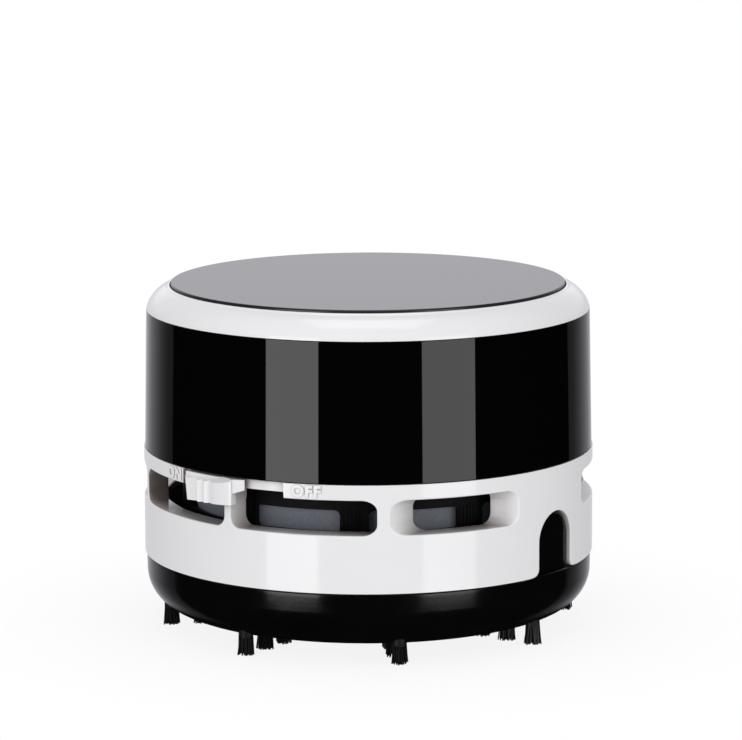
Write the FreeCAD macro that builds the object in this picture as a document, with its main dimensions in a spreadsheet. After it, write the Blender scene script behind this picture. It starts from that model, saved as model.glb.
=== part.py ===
import FreeCAD, Part
import math
import os
import re
import Sketcher
from FreeCAD import Rotation, Vector

# Desktop mini vacuum cleaner: a round, battery-driven crumb sweeper.
# Z is up, z = 0 is the desk under the bristle tips and the Z axis is the fan's axis.
# Angles are measured about Z from the front, -Y, towards +X, the right-hand side.

doc = FreeCAD.newDocument("desk_vacuum")
sheet = doc.addObject("Spreadsheet::Sheet", "Sizes")

SIZES = (
    # outside form
    ("body_radius", 42.0, "outside of the upper shell at the lid seam"),
    ("shell_draft", 0.5, "how much wider the upper shell is at its foot"),
    ("ring_step", 0.7, "how far the vent ring stands outside body_radius"),
    ("base_step", 0.35, "how far the base stands outside body_radius"),
    ("tuft_reach", 3.33, "base underside above the desk"),
    ("base_height", 10.77, "base underside to the base seam"),
    ("ring_height", 20.06, "vent ring, seam to seam"),
    ("shell_height", 26.14, "upper shell, seam to seam"),
    ("cap_rise", 4.14, "lid seam to the rim round the top disc"),
    ("shoulder_lean", 0.78, "lid's side, leaning in up to its shoulder"),
    ("shoulder_rise", 3.2, "shoulder's corner above the lid seam"),
    ("shoulder_round", 5.5, "rounding of the lid's shoulder"),
    ("round_share", 0.98, "most of the lid's side that its rounding may use"),
    ("rim_edge", 0.25, "bevel of the rim round the top disc"),
    ("disc_radius", 37.35, "top disc"),
    ("disc_proud", 0.85, "top disc above the rim round it"),
    ("disc_edge", 0.7, "rounding of the top disc's edge"),
    ("base_round", 7.8, "rounding of the base's lower corner"),
    # clearances
    ("gap", 0.3, "clearance between shells that are pushed together"),
    ("part_gap", 0.15, "clearance round a piece that drops in its seat"),
    ("pin_gap", 0.04, "running clearance round a pin or shaft"),
    # base and its dust trough
    ("base_skin", 1.8, "outer wall of the base"),
    ("floor_thickness", 4.0, "base floor, deep enough to hold the tufts"),
    ("channel_step", 0.9, "hollow behind the outer wall starts this far over the floor"),
    ("spigot_wall", 1.8, "wall that stands up into the vent ring"),
    ("mouth_radius", 9.0, "suction mouth"),
    ("mouth_flare", 2.0, "how much wider the mouth is at the desk"),
    ("chimney_wall", 1.3, "wall of the chimney over the mouth"),
    ("chimney_height", 6.3, "chimney above the floor of the trough"),
    ("trough_slope", 2.2, "bevel between the trough's floor and its wall"),
    # bristles
    ("tuft_radius", 1.4, "one bristle tuft"),
    ("tuft_depth", 3.0, "tuft hole above the base underside"),
    ("tuft_outer", 38.0, "radius of the outermost tufts"),
    ("tuft_pitch", 5.7, "tuft to tuft along a row"),
    ("tuft_turn", 8.4, "angle of the first row"),
    # vent ring
    ("ring_wall", 2.0, "plain wall of the vent ring"),
    ("collar_depth", 4.3, "wall round the vents"),
    ("vent_height", 6.55, "vent opening"),
    ("vent_drop", 2.76, "vent opening below the upper seam"),
    ("vent_corner", 2.0, "rounding of the vent's corners"),
    ("collar_sill", 1.5, "thick wall below the vents"),
    ("sill_slope", 1.3, "slope under the thick wall"),
    ("ledge_thickness", 1.26, "inner ledge at the ring's upper edge"),
    ("ledge_depth", 6.3, "ledge, from the outside inwards"),
    ("lip_height", 1.4, "lip that centres the upper shell"),
    ("lip_wall", 1.4, "wall of that lip"),
    ("arch_angle", 54.7, "middle of the release tongue's arch"),
    ("arch_gap", 14.5, "half of the plain stretch round the arch"),
    ("near_vent", 35.2, "width of the vents beside the arch"),
    ("next_vent", 38.0, "width of the vents after them"),
    ("side_vent", 37.7, "width of the third vents from the arch"),
    ("far_vent", 46.3, "width of the two vents opposite the arch"),
    ("near_post", 3.3, "post beside the first vents"),
    ("far_post", 2.0, "every other post"),
    ("arch_half", 5.3, "half width of the arch"),
    ("arch_height", 11.6, "arch above the base seam"),
    ("arch_flare", 1.5, "rounded corners at the arch's foot"),
    # release tongue
    ("tongue_gap", 0.3, "tongue inside its arch"),
    ("tongue_drop", 0.4, "tongue's crown below the arch's, so that it can tip in"),
    ("tongue_inset", 0.8, "tongue behind the outside of the ring"),
    ("tongue_wall", 2.0, "front plate of the tongue"),
    ("backing_wall", 1.2, "wider plate behind the ring's wall"),
    ("backing_half", 6.9, "half width of that plate"),
    ("backing_height", 7.65, "backing plate above the base seam"),
    ("pivot_inset", 4.15, "pin's centre inside the base's outside"),
    ("pivot_drop", 1.8, "pin's centre below the base seam"),
    ("pin_radius", 0.6, "pivot pin"),
    ("knuckle_radius", 1.3, "knuckle round the pin"),
    ("ear_thickness", 1.3, "ears that hold the pin"),
    ("ear_drop", 0.3, "ears below the base seam"),
    ("latch_slice", 30.0, "half angle of the slice that the latch is cut from"),
    # switch
    ("channel_start", -53.1, "left end of the switch channel"),
    ("channel_end", -21.2, "right end of the switch channel"),
    ("channel_depth", 1.0, "channel behind the outside of the ring"),
    ("channel_bar", 1.86, "height of the bar behind the knob"),
    ("knob_start", -52.1, "left end of the knob at its top, switched on"),
    ("knob_slant", 1.0, "how much further right the left end is at its foot"),
    ("knob_skew", 1.6, "how much further right the left end is at its front"),
    ("knob_end", -31.6, "right end of the knob, switched on"),
    ("knob_block_end", -34.3, "right end of the knob's full height"),
    ("knob_drop", 0.1, "top of the knob below the shell's foot"),
    ("knob_height", 5.4, "knob at its left end"),
    ("knob_lift", 0.7, "how much higher the foot is at the right end"),
    ("knob_tab", 2.6, "height of the tab where it leaves the knob"),
    ("knob_tab_lift", 0.7, "how much higher the tab's foot is at its end"),
    ("knob_tab_wall", 0.25, "tab at its thin end"),
    ("knob_thickness", 1.75, "knob at its pad"),
    ("knob_pad_start", -40.3, "left end of the smooth pad"),
    ("knob_pad_crown", 0.25, "pad's middle in front of its ends"),
    ("knob_back_drop", 0.9, "knob's upper face below its top, at the back"),
    ("knob_front_drop", 1.4, "knob's upper face below its top, in front of the ribs"),
    ("knob_right_drop", 0.36, "knob's upper face below its top, at the pad's right end"),
    ("rib_pitch", 2.6, "grip ribs, as an angle"),
    ("rib_share", 0.52, "part of each rib's pitch that faces forward"),
    ("rib_root", 1.3, "first rib's low side behind the pad"),
    ("rib_crest", 0.5, "how far a rib's high side stands over its low side"),
    ("rib_climb", 0.22, "each rib in front of the one before"),
    ("rail_drop", 1.3, "foot of the rail in the channel, below the knob's top"),
    ("rail_height", 1.2, "rail in the channel"),
    ("rail_inset", 0.9, "rail's ends inside the knob's, as an angle"),
    ("arm_start", -51.3, "left side of the switch arm"),
    ("arm_end", -49.6, "right side of the switch arm"),
    ("arm_height", 1.1, "switch arm"),
    ("arm_gap", 0.25, "arm below its bar"),
    ("slider_radius", 37.8, "outside of the upright slider"),
    ("slider_wall", 1.5, "upright slider"),
    ("slider_rise", 3.4, "slider above the ring's upper edge"),
    ("slider_gap", 0.6, "slider and the edge of its gap in the ledge"),
    ("switch_travel", 10.5, "switch, from on to off"),
    ("slot_margin", 6.0, "gap in the ledge beyond the slider, as an angle"),
    ("notch_margin", 3.3, "notch in the carrier's flange beyond the slider"),
    ("head_drop", 0.4, "slider's head below the ring's upper edge"),
    ("contact_wall", 0.3, "switch contact strips"),
    ("contact_inset", 1.5, "contacts' wall inside the carrier's wall"),
    ("contact_start", -57.0, "left end of the contact strips"),
    ("long_contact_end", -34.0, "right end of the long strip"),
    ("short_contact_end", -46.0, "right end of the short strip"),
    ("contact_width", 1.0, "contact strips"),
    ("contact_rise", 2.1, "long strip above the ring's upper edge"),
    ("contact_drop", 0.1, "short strip below the ring's upper edge"),
    ("contact_margin", 1.0, "contacts' wall beyond the strips, as an angle"),
    ("wiper_inset", 0.2, "wiper's sides inside the slider's, as an angle"),
    ("wiper_height", 3.0, "wiper"),
    ("wiper_foot", 0.6, "each foot of the wiper"),
    ("wiper_gap", 0.1, "wiper's feet in front of the strips"),
    # motor carrier and fan
    ("carrier_radius", 35.5, "outside of the motor carrier"),
    ("carrier_wall", 1.6, "wall and deck of the motor carrier"),
    ("flange_thickness", 1.5, "carrier's flange under the ring's ledge"),
    ("deck_drop", 3.86, "top of the deck below the upper seam"),
    ("skirt_length", 8.4, "carrier wall below the deck"),
    ("window_count", 10, "outlet windows"),
    ("window_half", 8.4, "half width of a window"),
    ("window_height", 4.35, "window"),
    ("window_drop", 0.65, "top of the windows below the deck"),
    ("window_corner", 1.0, "rounding of the windows' corners"),
    ("window_turn", 13.8, "angle of the first window"),
    ("inlet_thickness", 1.2, "plate under the fan"),
    ("inlet_rib", 1.2, "rib that centres the plate, and the wall of its lip"),
    ("inlet_rib_height", 1.0, "rib that centres the plate"),
    ("eye_radius", 11.0, "inlet eye in that plate"),
    ("eye_lip", 1.1, "height of the lip round the eye"),
    ("fan_radius", 29.5, "fan"),
    ("fan_plate", 1.0, "fan's back plate"),
    ("fan_gap", 0.8, "fan below the deck"),
    ("blade_height", 4.6, "fan blade"),
    ("blade_thickness", 1.0, "fan blade"),
    ("blade_root", 9.0, "inner end of the blades"),
    ("blade_inset", 0.3, "outer end of the blades inside the fan's rim"),
    ("blade_arc", 19.0, "curve of the blades"),
    ("blade_swing", 1.0, "how far the blades' centre lies beyond the even one"),
    ("blade_count", 11, "blades"),
    ("hub_radius", 4.0, "fan hub"),
    ("hub_rise", 0.4, "hub above the blades' lower edge and above the plate"),
    ("hub_step", 1.0, "hub's narrower top"),
    ("shaft_radius", 1.0, "motor shaft"),
    ("shaft_recess", 0.4, "shaft's end below the rear boss's face"),
    ("thread_gap", 0.02, "fit of a pressed shaft or a cut thread"),
    ("strip_thickness", 0.7, "outlet filter strip"),
    # inlet filter
    ("filter_radius", 36.9, "filter frame"),
    ("filter_height", 2.2, "filter frame"),
    ("filter_rim", 3.5, "width of the frame's rim"),
    ("mesh_rebate", 1.5, "width of the mesh's rebate in the rim"),
    ("spoke_lap", 0.5, "spokes' ends inside the rim"),
    ("mesh_thickness", 0.4, "filter mesh"),
    ("mesh_seat", 1.3, "mesh above the frame's underside"),
    ("spoke_width", 1.6, "spokes under the mesh"),
    # motor
    ("motor_radius", 10.05, "round sides of the motor"),
    ("motor_half", 7.55, "flat sides of the motor"),
    ("can_length", 20.5, "steel can"),
    ("cap_length", 3.5, "plastic end cap"),
    ("cap_step", 0.4, "end cap inside the can's outside"),
    ("boss_radius", 3.05, "bearing boss at the motor's front"),
    ("boss_recess", 0.2, "front boss above the deck's underside"),
    ("rear_boss", 5.0, "boss on the end cap"),
    ("rear_boss_height", 1.1, "boss on the end cap"),
    ("terminal_thickness", 0.4, "solder tags"),
    ("terminal_width", 2.4, "solder tags"),
    ("terminal_height", 2.6, "solder tags"),
    ("terminal_inset", 1.6, "solder tags inside the motor's round side"),
    ("collar_wall", 1.2, "collar and sleeve round the motor"),
    ("collar_height", 5.0, "collar on the carrier's deck"),
    # battery tray and cells
    ("shell_wall", 1.8, "upper shell"),
    ("tray_ledge", 6.04, "tray ledge's underside above the shell's foot"),
    ("tray_ledge_height", 1.4, "tray ledge"),
    ("tray_ledge_depth", 2.6, "tray ledge"),
    ("tray_floor", 1.6, "battery tray"),
    ("tray_wall", 1.2, "battery tray"),
    ("tray_rise", 8.8, "tray walls above the tray's floor"),
    ("bay_half_length", 31.2, "half length of the cells' space"),
    ("wire_hole_width", 4.6, "wire holes beside the bay, along X"),
    ("wire_hole_length", 9.0, "wire holes beside the bay, along Y"),
    ("cell_radius", 7.25, "round cell, size AA"),
    ("cell_length", 49.2, "cell without its nub"),
    ("cell_edge", 0.5, "rounding of the cell's ends"),
    ("nub_radius", 2.75, "cell's nub"),
    ("nub_length", 1.3, "cell's nub"),
    ("cell_offset", 18.3, "cell's centre from the middle"),
    ("strip_metal", 0.4, "battery contact sheet"),
    ("strip_width", 8.0, "battery contact sheet"),
    ("strip_height", 10.0, "battery contact sheet"),
    ("strip_gap", 0.05, "battery contact sheet and the bay's end wall"),
    ("bow_depth", 2.2, "sprung leg of the contact, in front of its sheet"),
    ("bow_gap", 0.1, "contact's bow and the cell"),
    ("bow_flat", 1.0, "half height of the bow's flat"),
    ("bridge_height", 3.0, "bar that joins the bridge's two bows"),
    ("boss_ring", 29.0, "radius on which the screws lie"),
    ("boss_outer", 2.7, "screw boss"),
    ("boss_turn", 20.0, "angle of the first screw"),
    ("screw_radius", 1.0, "screw's thread"),
    ("screw_head", 1.9, "screw's head"),
    ("screw_sink", 0.75, "part of the deck that the screw's head takes"),
    ("screw_room", 0.6, "hole beyond the screw's end"),
    ("screw_length", 9.0, "screw"),
    # lid
    ("skirt_wall", 1.6, "lid's skirt inside the shell"),
    ("skirt_depth", 3.8, "lid's skirt below the seam"),
    ("seat_depth", 1.84, "disc's seat below the rim"),
    ("seat_width", 3.7, "disc's seat"),
    ("seat_thickness", 1.4, "disc's seat"),
    ("disc_wall", 1.6, "top disc"),
    ("disc_foot", 1.8, "foot round the top disc"),
    ("rib_thickness", 1.2, "ribs that hold the cells down"),
    ("rib_offset", 14.0, "those ribs from the middle"),
    ("rib_reach", 4.0, "those ribs beyond the cells' centres"),
)

for row, (alias, value, note) in enumerate(SIZES, start=1):
    sheet.set("A%d" % row, alias)
    sheet.set("B%d" % row, str(value))
    sheet.set("C%d" % row, note)
    sheet.setAlias("B%d" % row, alias)
doc.recompute()
NAMES = {alias for alias, value, note in SIZES}

# Heights and radii that several pieces share, as formulas on the sheet.
SEAM = "(tuft_reach + base_height)"
FOOT = "(%s + ring_height)" % SEAM
LID = "(%s + shell_height)" % FOOT
RIM = "(%s + cap_rise)" % LID
RING = "(body_radius + ring_step)"
BASE = "(body_radius + base_step)"
TROUGH = "(tuft_reach + floor_thickness)"
INSIDE = "(body_radius - shell_wall)"
SPIGOT = "(%s - collar_depth - part_gap - gap)" % RING
LEDGE = "(%s - ledge_thickness)" % FOOT
VENT_TOP = "(%s - vent_drop)" % FOOT
VENT_FOOT = "(%s - vent_height)" % VENT_TOP
DECK = "(%s - deck_drop)" % FOOT
DECK_FOOT = "(%s - carrier_wall)" % DECK
SKIRT_FOOT = "(%s - skirt_length)" % DECK_FOOT
INLET_FOOT = "(%s - inlet_thickness)" % SKIRT_FOOT
FILTER_FOOT = "(%s - filter_height)" % INLET_FOOT
FAN_TOP = "(%s - fan_gap)" % DECK_FOOT
BLADE_TOP = "(%s - fan_plate)" % FAN_TOP
BLADE_FOOT = "(%s - blade_height)" % BLADE_TOP
TRAY_SEAT = "(%s + tray_ledge + tray_ledge_height)" % FOOT
TRAY_TOP = "(%s + tray_floor)" % TRAY_SEAT
TRAY_RADIUS = "(%s - gap)" % INSIDE
CELL_AXIS = "(%s + gap + cell_radius)" % TRAY_TOP
CAN_TOP = "(%s + can_length)" % DECK
CAP_TOP = "(%s + cap_length)" % CAN_TOP
BAR_FOOT = "(%s - channel_bar)" % FOOT
PIVOT_HEIGHT = "(%s - pivot_drop)" % SEAM
PIVOT_REACH = "(%s - pivot_inset)" % BASE
CONTACT_FACE = "(carrier_radius - carrier_wall - contact_inset)"
ARM_TOP = "(%s - arm_gap)" % BAR_FOOT
POST_RIGHT = "(arch_angle - arch_gap - near_vent - near_post - next_vent)"
POST_LEFT = "(%s - far_post)" % POST_RIGHT


def size(alias):
    """A size from the sheet as a plain number."""
    return float(sheet.get(alias))


def base_seam():
    """Height of the seam between base and vent ring."""
    return size("tuft_reach") + size("base_height")


def shell_foot():
    """Height of the seam between vent ring and upper shell."""
    return base_seam() + size("ring_height")


def lid_seam():
    """Height of the seam between upper shell and lid."""
    return shell_foot() + size("shell_height")


def formula(text):
    """The text with each of the sheet's words written as a reference to its cell."""
    return re.sub(r"[a-z][a-z0-9_]*", lambda word: "Sizes." + word.group()
                  if word.group() in NAMES else word.group(), text)


def bind(thing, prop, text):
    """Tie a property to a formula on the sheet."""
    thing.setExpression(prop, formula(text))


def origin_plane(body, role):
    """One of a body's own origin planes."""
    return next(plane for plane in body.Origin.OriginFeatures if plane.Role == role)


def new_sketch(body, role, name):
    """An empty sketch on one of the body's origin planes."""
    sketch = body.newObject("Sketcher::SketchObject", name)
    sketch.AttachmentSupport = (origin_plane(body, role), "")
    sketch.MapMode = "FlatFace"
    return sketch


def hold_corner(sketch, line, end, across, up, near=Vector(20, 20, 0)):
    """Fix one end of a line by two distances from the origin, starting near a point."""
    for kind, text, value in (("DistanceX", across, near.x), ("DistanceY", up, near.y)):
        if text == "0":
            axis = -2 if kind == "DistanceX" else -1
            sketch.addConstraint(Sketcher.Constraint("PointOnObject", line, end, axis))
            continue
        index = sketch.addConstraint(Sketcher.Constraint(kind, -1, 1, line, end, value))
        bind(sketch, "Constraints[%d]" % index, text)


def polygon(sketch, corners):
    """A closed outline whose corners are formulas on the sheet."""
    count = len(corners)
    start = [Vector(20 + 10 * math.cos(2 * math.pi * i / count),
                    20 + 10 * math.sin(2 * math.pi * i / count), 0) for i in range(count)]
    for i in range(count):
        sketch.addGeometry(Part.LineSegment(start[i], start[(i + 1) % count]), False)
    for i in range(count):
        sketch.addConstraint(Sketcher.Constraint("Coincident", i, 2, (i + 1) % count, 1))
    for i, (across, up) in enumerate(corners):
        hold_corner(sketch, i, 1, across, up, start[i])


def revolve(body, sketch):
    """Turn a half profile once round the Z axis."""
    turn = body.newObject("PartDesign::Revolution", "Turned")
    turn.Profile = sketch
    turn.ReferenceAxis = (sketch, ["V_Axis"])
    turn.Angle = 360
    body.Tip = turn
    return turn


def turned(label, corners):
    """A body of revolution from its half profile: pairs of radius and height."""
    body = doc.addObject("PartDesign::Body", label)
    body.Label = label
    sketch = new_sketch(body, "XZ_Plane", "HalfProfile")
    polygon(sketch, corners)
    revolve(body, sketch)
    doc.recompute()
    return body


def round_edges(body, radius, picks):
    """Round the circular edges at the picked radii and heights."""
    shape = body.Tip.Shape
    names = []
    for index, edge in enumerate(shape.Edges, start=1):
        curve = edge.Curve
        if not isinstance(curve, Part.Circle):
            continue
        for pick_radius, pick_height in picks:
            if (abs(curve.Radius - pick_radius) < 0.01
                    and abs(curve.Center.z - pick_height) < 0.01):
                names.append("Edge%d" % index)
    sharp = body.Tip
    fillet = body.newObject("PartDesign::Fillet", "Rounded")
    fillet.Base = (sharp, names)
    bind(fillet, "Radius", radius)
    body.Tip = fillet
    doc.recompute()


def cylinder(name, radius, height, foot, start=None, sweep=None):
    """A cylinder on the Z axis, or the slice of one from a start angle."""
    part = doc.addObject("Part::Cylinder", name)
    bind(part, "Radius", radius)
    bind(part, "Height", height)
    bind(part, "Placement.Base.z", foot)
    if sweep is not None:
        bind(part, "Angle", sweep)
        part.Placement.Rotation = Rotation(Vector(0, 0, 1), 10)
        bind(part, "Placement.Rotation.Angle", "%s - 90" % start)
    return part


def rod(name, radius, length, x, y, z, axis=Vector(0, 0, 1)):
    """A cylinder at any place, along Z or along the axis given."""
    part = doc.addObject("Part::Cylinder", name)
    bind(part, "Radius", radius)
    bind(part, "Height", length)
    part.Placement.Rotation = Rotation(Vector(0, 0, 1), axis)
    for letter, text in (("x", x), ("y", y), ("z", z)):
        bind(part, "Placement.Base.%s" % letter, text)
    return part


def block(name, length, width, height, x, y, z):
    """A box by its sizes and its lowest corner."""
    part = doc.addObject("Part::Box", name)
    for prop, text in (("Length", length), ("Width", width), ("Height", height),
                       ("Placement.Base.x", x), ("Placement.Base.y", y), ("Placement.Base.z", z)):
        bind(part, prop, text)
    return part


def cut(name, body, *tools):
    """The first piece with all the others taken away."""
    tool = tools[0]
    if len(tools) > 1:
        tool = fuse(name + "_tools", *tools)
    result = doc.addObject("Part::Cut", name)
    result.Base = body
    result.Tool = tool
    result.Label = name
    return result


def fuse(name, *pieces):
    """Several pieces as one."""
    result = doc.addObject("Part::MultiFuse", name)
    result.Shapes = list(pieces)
    result.Refine = True
    result.Label = name
    return result


def common(name, *pieces):
    """What several pieces share."""
    result = doc.addObject("Part::MultiCommon", name)
    result.Shapes = list(pieces)
    result.Label = name
    return result


def group(name, pieces):
    """Separate solids that share one node."""
    result = doc.addObject("Part::Compound", name)
    result.Links = list(pieces)
    result.Label = name
    return result


def sector(name, inner, outer, height, foot, start, sweep):
    """A slice of a ring."""
    return cut(name, cylinder(name + "_outer", outer, height, foot, start, sweep),
               cylinder(name + "_inner", inner, "%s + 2" % height, "%s - 1" % foot))


def turn_with_arch(piece):
    """Turn a piece drawn at the front round to the arch."""
    piece.Placement.Rotation = Rotation(Vector(0, 0, 1), 10)
    bind(piece, "Placement.Rotation.Angle", "arch_angle")
    return piece


NODES = []


def keep(piece, label):
    """Name a finished piece and put it on the list of nodes."""
    piece.Label = label
    NODES.append(piece)
    return piece


# ---------------------------------------------------------------- base and dust trough


def tuft_places():
    """Angle and radius formulas of the bristle tufts, three to a row."""
    for row in range(8):
        for step in range(3):
            angle = "(tuft_turn + %d)" % (45 * row)
            radius = "(tuft_outer - %d * tuft_pitch)" % step
            yield "%d_%d" % (row, step), angle, radius


def tufts(prefix, radius, length, foot):
    """A rod at each tuft's place."""
    return [rod("%s_%s" % (prefix, tag), radius, length, "%s * sin(%s)" % (reach, angle),
                "-%s * cos(%s)" % (reach, angle), foot) for tag, angle, reach in tuft_places()]


def base_tray():
    """Moulded base: suction mouth, dust trough, double wall and tuft holes."""
    inner = "(%s - base_skin)" % BASE
    channel = "(%s + channel_step)" % TROUGH
    spigot_top = "(%s - gap - part_gap)" % FILTER_FOOT
    cup = "(%s - spigot_wall)" % SPIGOT
    chimney_top = "(%s + chimney_height)" % TROUGH
    body = turned("base_turning", (
        ("mouth_radius + mouth_flare", "tuft_reach"),
        (BASE, "tuft_reach"),
        (BASE, SEAM),
        (inner, SEAM),
        (inner, channel),
        (SPIGOT, channel),
        (SPIGOT, spigot_top),
        (cup, spigot_top),
        (cup, "%s + trough_slope" % TROUGH),
        ("%s - trough_slope * 1.4" % cup, TROUGH),
        ("mouth_radius + chimney_wall", TROUGH),
        ("mouth_radius + chimney_wall", chimney_top),
        ("mouth_radius", chimney_top),
        ("mouth_radius", "tuft_reach + 1.5"),
    ))
    base_radius = size("body_radius") + size("base_step")
    round_edges(body, "base_round", ((base_radius, size("tuft_reach")),))
    holes = tufts("tuft_hole", "tuft_radius", "tuft_depth + 1", "tuft_reach - 1")
    ears = []
    for side, tag in ((1, "right"), (-1, "left")):
        x = "backing_half + part_gap" if side > 0 else "-(backing_half + part_gap + ear_thickness)"
        ears.append(block("ear_" + tag, "ear_thickness", "%s - %s + 2" % (inner, SPIGOT),
                          "%s - %s - ear_drop" % (SEAM, channel), x,
                          "-%s - 1" % inner, channel))
    hollow = sector("ear_trim", SPIGOT, inner, "%s - %s" % (SEAM, channel), channel,
                    "-latch_slice", "2 * latch_slice")
    pocket = block("latch_pocket", "2 * (backing_half + part_gap)",
                   "%s + knuckle_radius + part_gap - %s" % (inner, PIVOT_REACH) + " + 0.01",
                   "12", "-(backing_half + part_gap)", "-%s" % inner,
                   "%s - knuckle_radius - part_gap" % PIVOT_HEIGHT)
    bridge = common("ears", fuse("ear_pair", *ears), hollow)
    bore = rod("ear_bore", "pin_radius + pin_gap", "2 * (backing_half + part_gap + ear_thickness)",
               "-(backing_half + part_gap + ear_thickness)", "-%s" % PIVOT_REACH, PIVOT_HEIGHT,
               Vector(1, 0, 0))
    local_cuts = turn_with_arch(fuse("latch_cuts", pocket, bore))
    tray = fuse("tray_with_ears", body, turn_with_arch(bridge))
    return cut("base_tray", tray, local_cuts, *holes)


def bristle_tufts():
    """Nylon tufts, each pressed in its own hole."""
    return group("bristle_tufts", tufts("tuft", "tuft_radius - 0.05",
                                        "tuft_reach + tuft_depth - 0.05", "0"))


keep(base_tray(), "base_tray")
keep(bristle_tufts(), "bristle_tufts")


def release_tongue():
    """Push tongue: an arched front plate on a wider plate with a knuckle at its foot."""
    front = "(%s - tongue_inset)" % RING
    half = "(arch_half - tongue_gap)"
    foot = "(%s + gap)" % SEAM
    arch_centre = "(%s + arch_height - arch_half - tongue_drop)" % SEAM
    back = "(%s - tongue_wall)" % front
    plate_ring = sector("plate_ring", back, front, "arch_height", foot,
                        "-latch_slice", "2 * latch_slice")
    plate_box = block("plate_box", "2 * %s" % half, "50", "%s - %s" % (arch_centre, foot),
                      "-%s" % half, "-60", foot)
    plate_top = rod("plate_top", half, "50", "0", "-60", arch_centre, Vector(0, 1, 0))
    plate = common("plate", plate_ring, fuse("plate_outline", plate_box, plate_top))
    low = "(%s - knuckle_radius + 0.2)" % PIVOT_HEIGHT
    backing_front = "(%s - base_skin - gap)" % BASE
    backing_ring = sector("backing_ring", "%s - backing_wall - 0.4" % back, backing_front,
                          "%s + backing_height - %s" % (SEAM, low), low,
                          "-latch_slice", "2 * latch_slice")
    backing_box = block("backing_box", "2 * backing_half", "50",
                        "%s + backing_height - %s" % (SEAM, low), "-backing_half", "-60", low)
    backing = common("backing", backing_ring, backing_box)
    knuckle = rod("knuckle", "knuckle_radius", "2 * backing_half", "-backing_half",
                  "-%s" % PIVOT_REACH, PIVOT_HEIGHT, Vector(1, 0, 0))
    bore = rod("knuckle_bore", "pin_radius + pin_gap", "2 * backing_half + 2",
               "-backing_half - 1", "-%s" % PIVOT_REACH, PIVOT_HEIGHT, Vector(1, 0, 0))
    solid = fuse("tongue_solid", plate, backing, knuckle)
    return turn_with_arch(cut("release_tongue", solid, bore))


def latch_pin():
    """Steel pin through both ears and the knuckle."""
    length = "2 * (backing_half + part_gap + ear_thickness) - 0.4"
    pin = rod("pin_rod", "pin_radius", length, "0", "0", "0", Vector(1, 0, 0))
    holder = group("latch_pin", [pin])
    bind(pin, "Placement.Base.x", "-(%s) / 2" % length)
    bind(pin, "Placement.Base.y", "-%s" % PIVOT_REACH)
    bind(pin, "Placement.Base.z", PIVOT_HEIGHT)
    return turn_with_arch(holder)


keep(release_tongue(), "release_tongue")
keep(latch_pin(), "latch_pin")

# ---------------------------------------------------------------- vent ring


def vent_spans():
    """Start and end angle of each vent, outwards from the arch on both sides."""
    spans = []
    for side in (-1, 1):
        edge = size("arch_gap")
        for width, post in (("near_vent", "near_post"), ("next_vent", "far_post"),
                            ("side_vent", "far_post"), ("far_vent", "far_post")):
            far = edge + size(width)
            ends = sorted((size("arch_angle") + side * edge, size("arch_angle") + side * far))
            spans.append(ends)
            edge = far + size(post)
    return spans


SLIDES = (-43.0, 77.0, 197.0)


def slide_for(angle):
    """The direction of the mould slide that forms the wall at this angle."""
    return min(SLIDES, key=lambda slide: abs((angle - slide + 180) % 360 - 180))


def direction(angle):
    """Unit vector at an angle from the front."""
    turn = math.radians(angle)
    return Vector(math.sin(turn), -math.cos(turn), 0)


def vent_cutter(start, end, foot, height):
    """A vent's cutter: each end wall runs along its own mould slide, corners rounded."""
    radius = size("body_radius") + size("ring_step")
    reach = 3.0
    depth = size("collar_depth") + 2.0
    corners = []
    for angle in (start, end):
        edge = direction(angle) * radius
        pull = direction(slide_for(angle))
        corners.append((edge + pull * reach, edge - pull * depth))
    (outer_a, inner_a), (outer_b, inner_b) = corners
    middle = direction((start + end) / 2)
    outer_mid = middle * (radius + 2 * reach)
    inner_mid = middle * (radius - depth)
    edges = [Part.makeLine(inner_a, outer_a),
             Part.Arc(outer_a, outer_mid, outer_b).toShape(),
             Part.makeLine(outer_b, inner_b),
             Part.Arc(inner_b, inner_mid, inner_a).toShape()]
    face = Part.Face(Part.Wire(edges))
    face.translate(Vector(0, 0, foot))
    solid = face.extrude(Vector(0, 0, height))
    along = []
    for edge in solid.Edges:
        if isinstance(edge.Curve, Part.Line) and abs(edge.tangentAt(edge.FirstParameter).z) < 0.1:
            along.append(edge)
    return solid.makeFillet(size("vent_corner"), along)


def vent_cutters():
    """All the vents as one cutting shape."""
    top = shell_foot() - size("vent_drop")
    foot = top - size("vent_height")
    shapes = [vent_cutter(start, end, foot, top - foot) for start, end in vent_spans()]
    cutter = doc.addObject("Part::Feature", "vent_cutter")
    cutter.Shape = Part.makeCompound(shapes)
    return cutter


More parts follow.
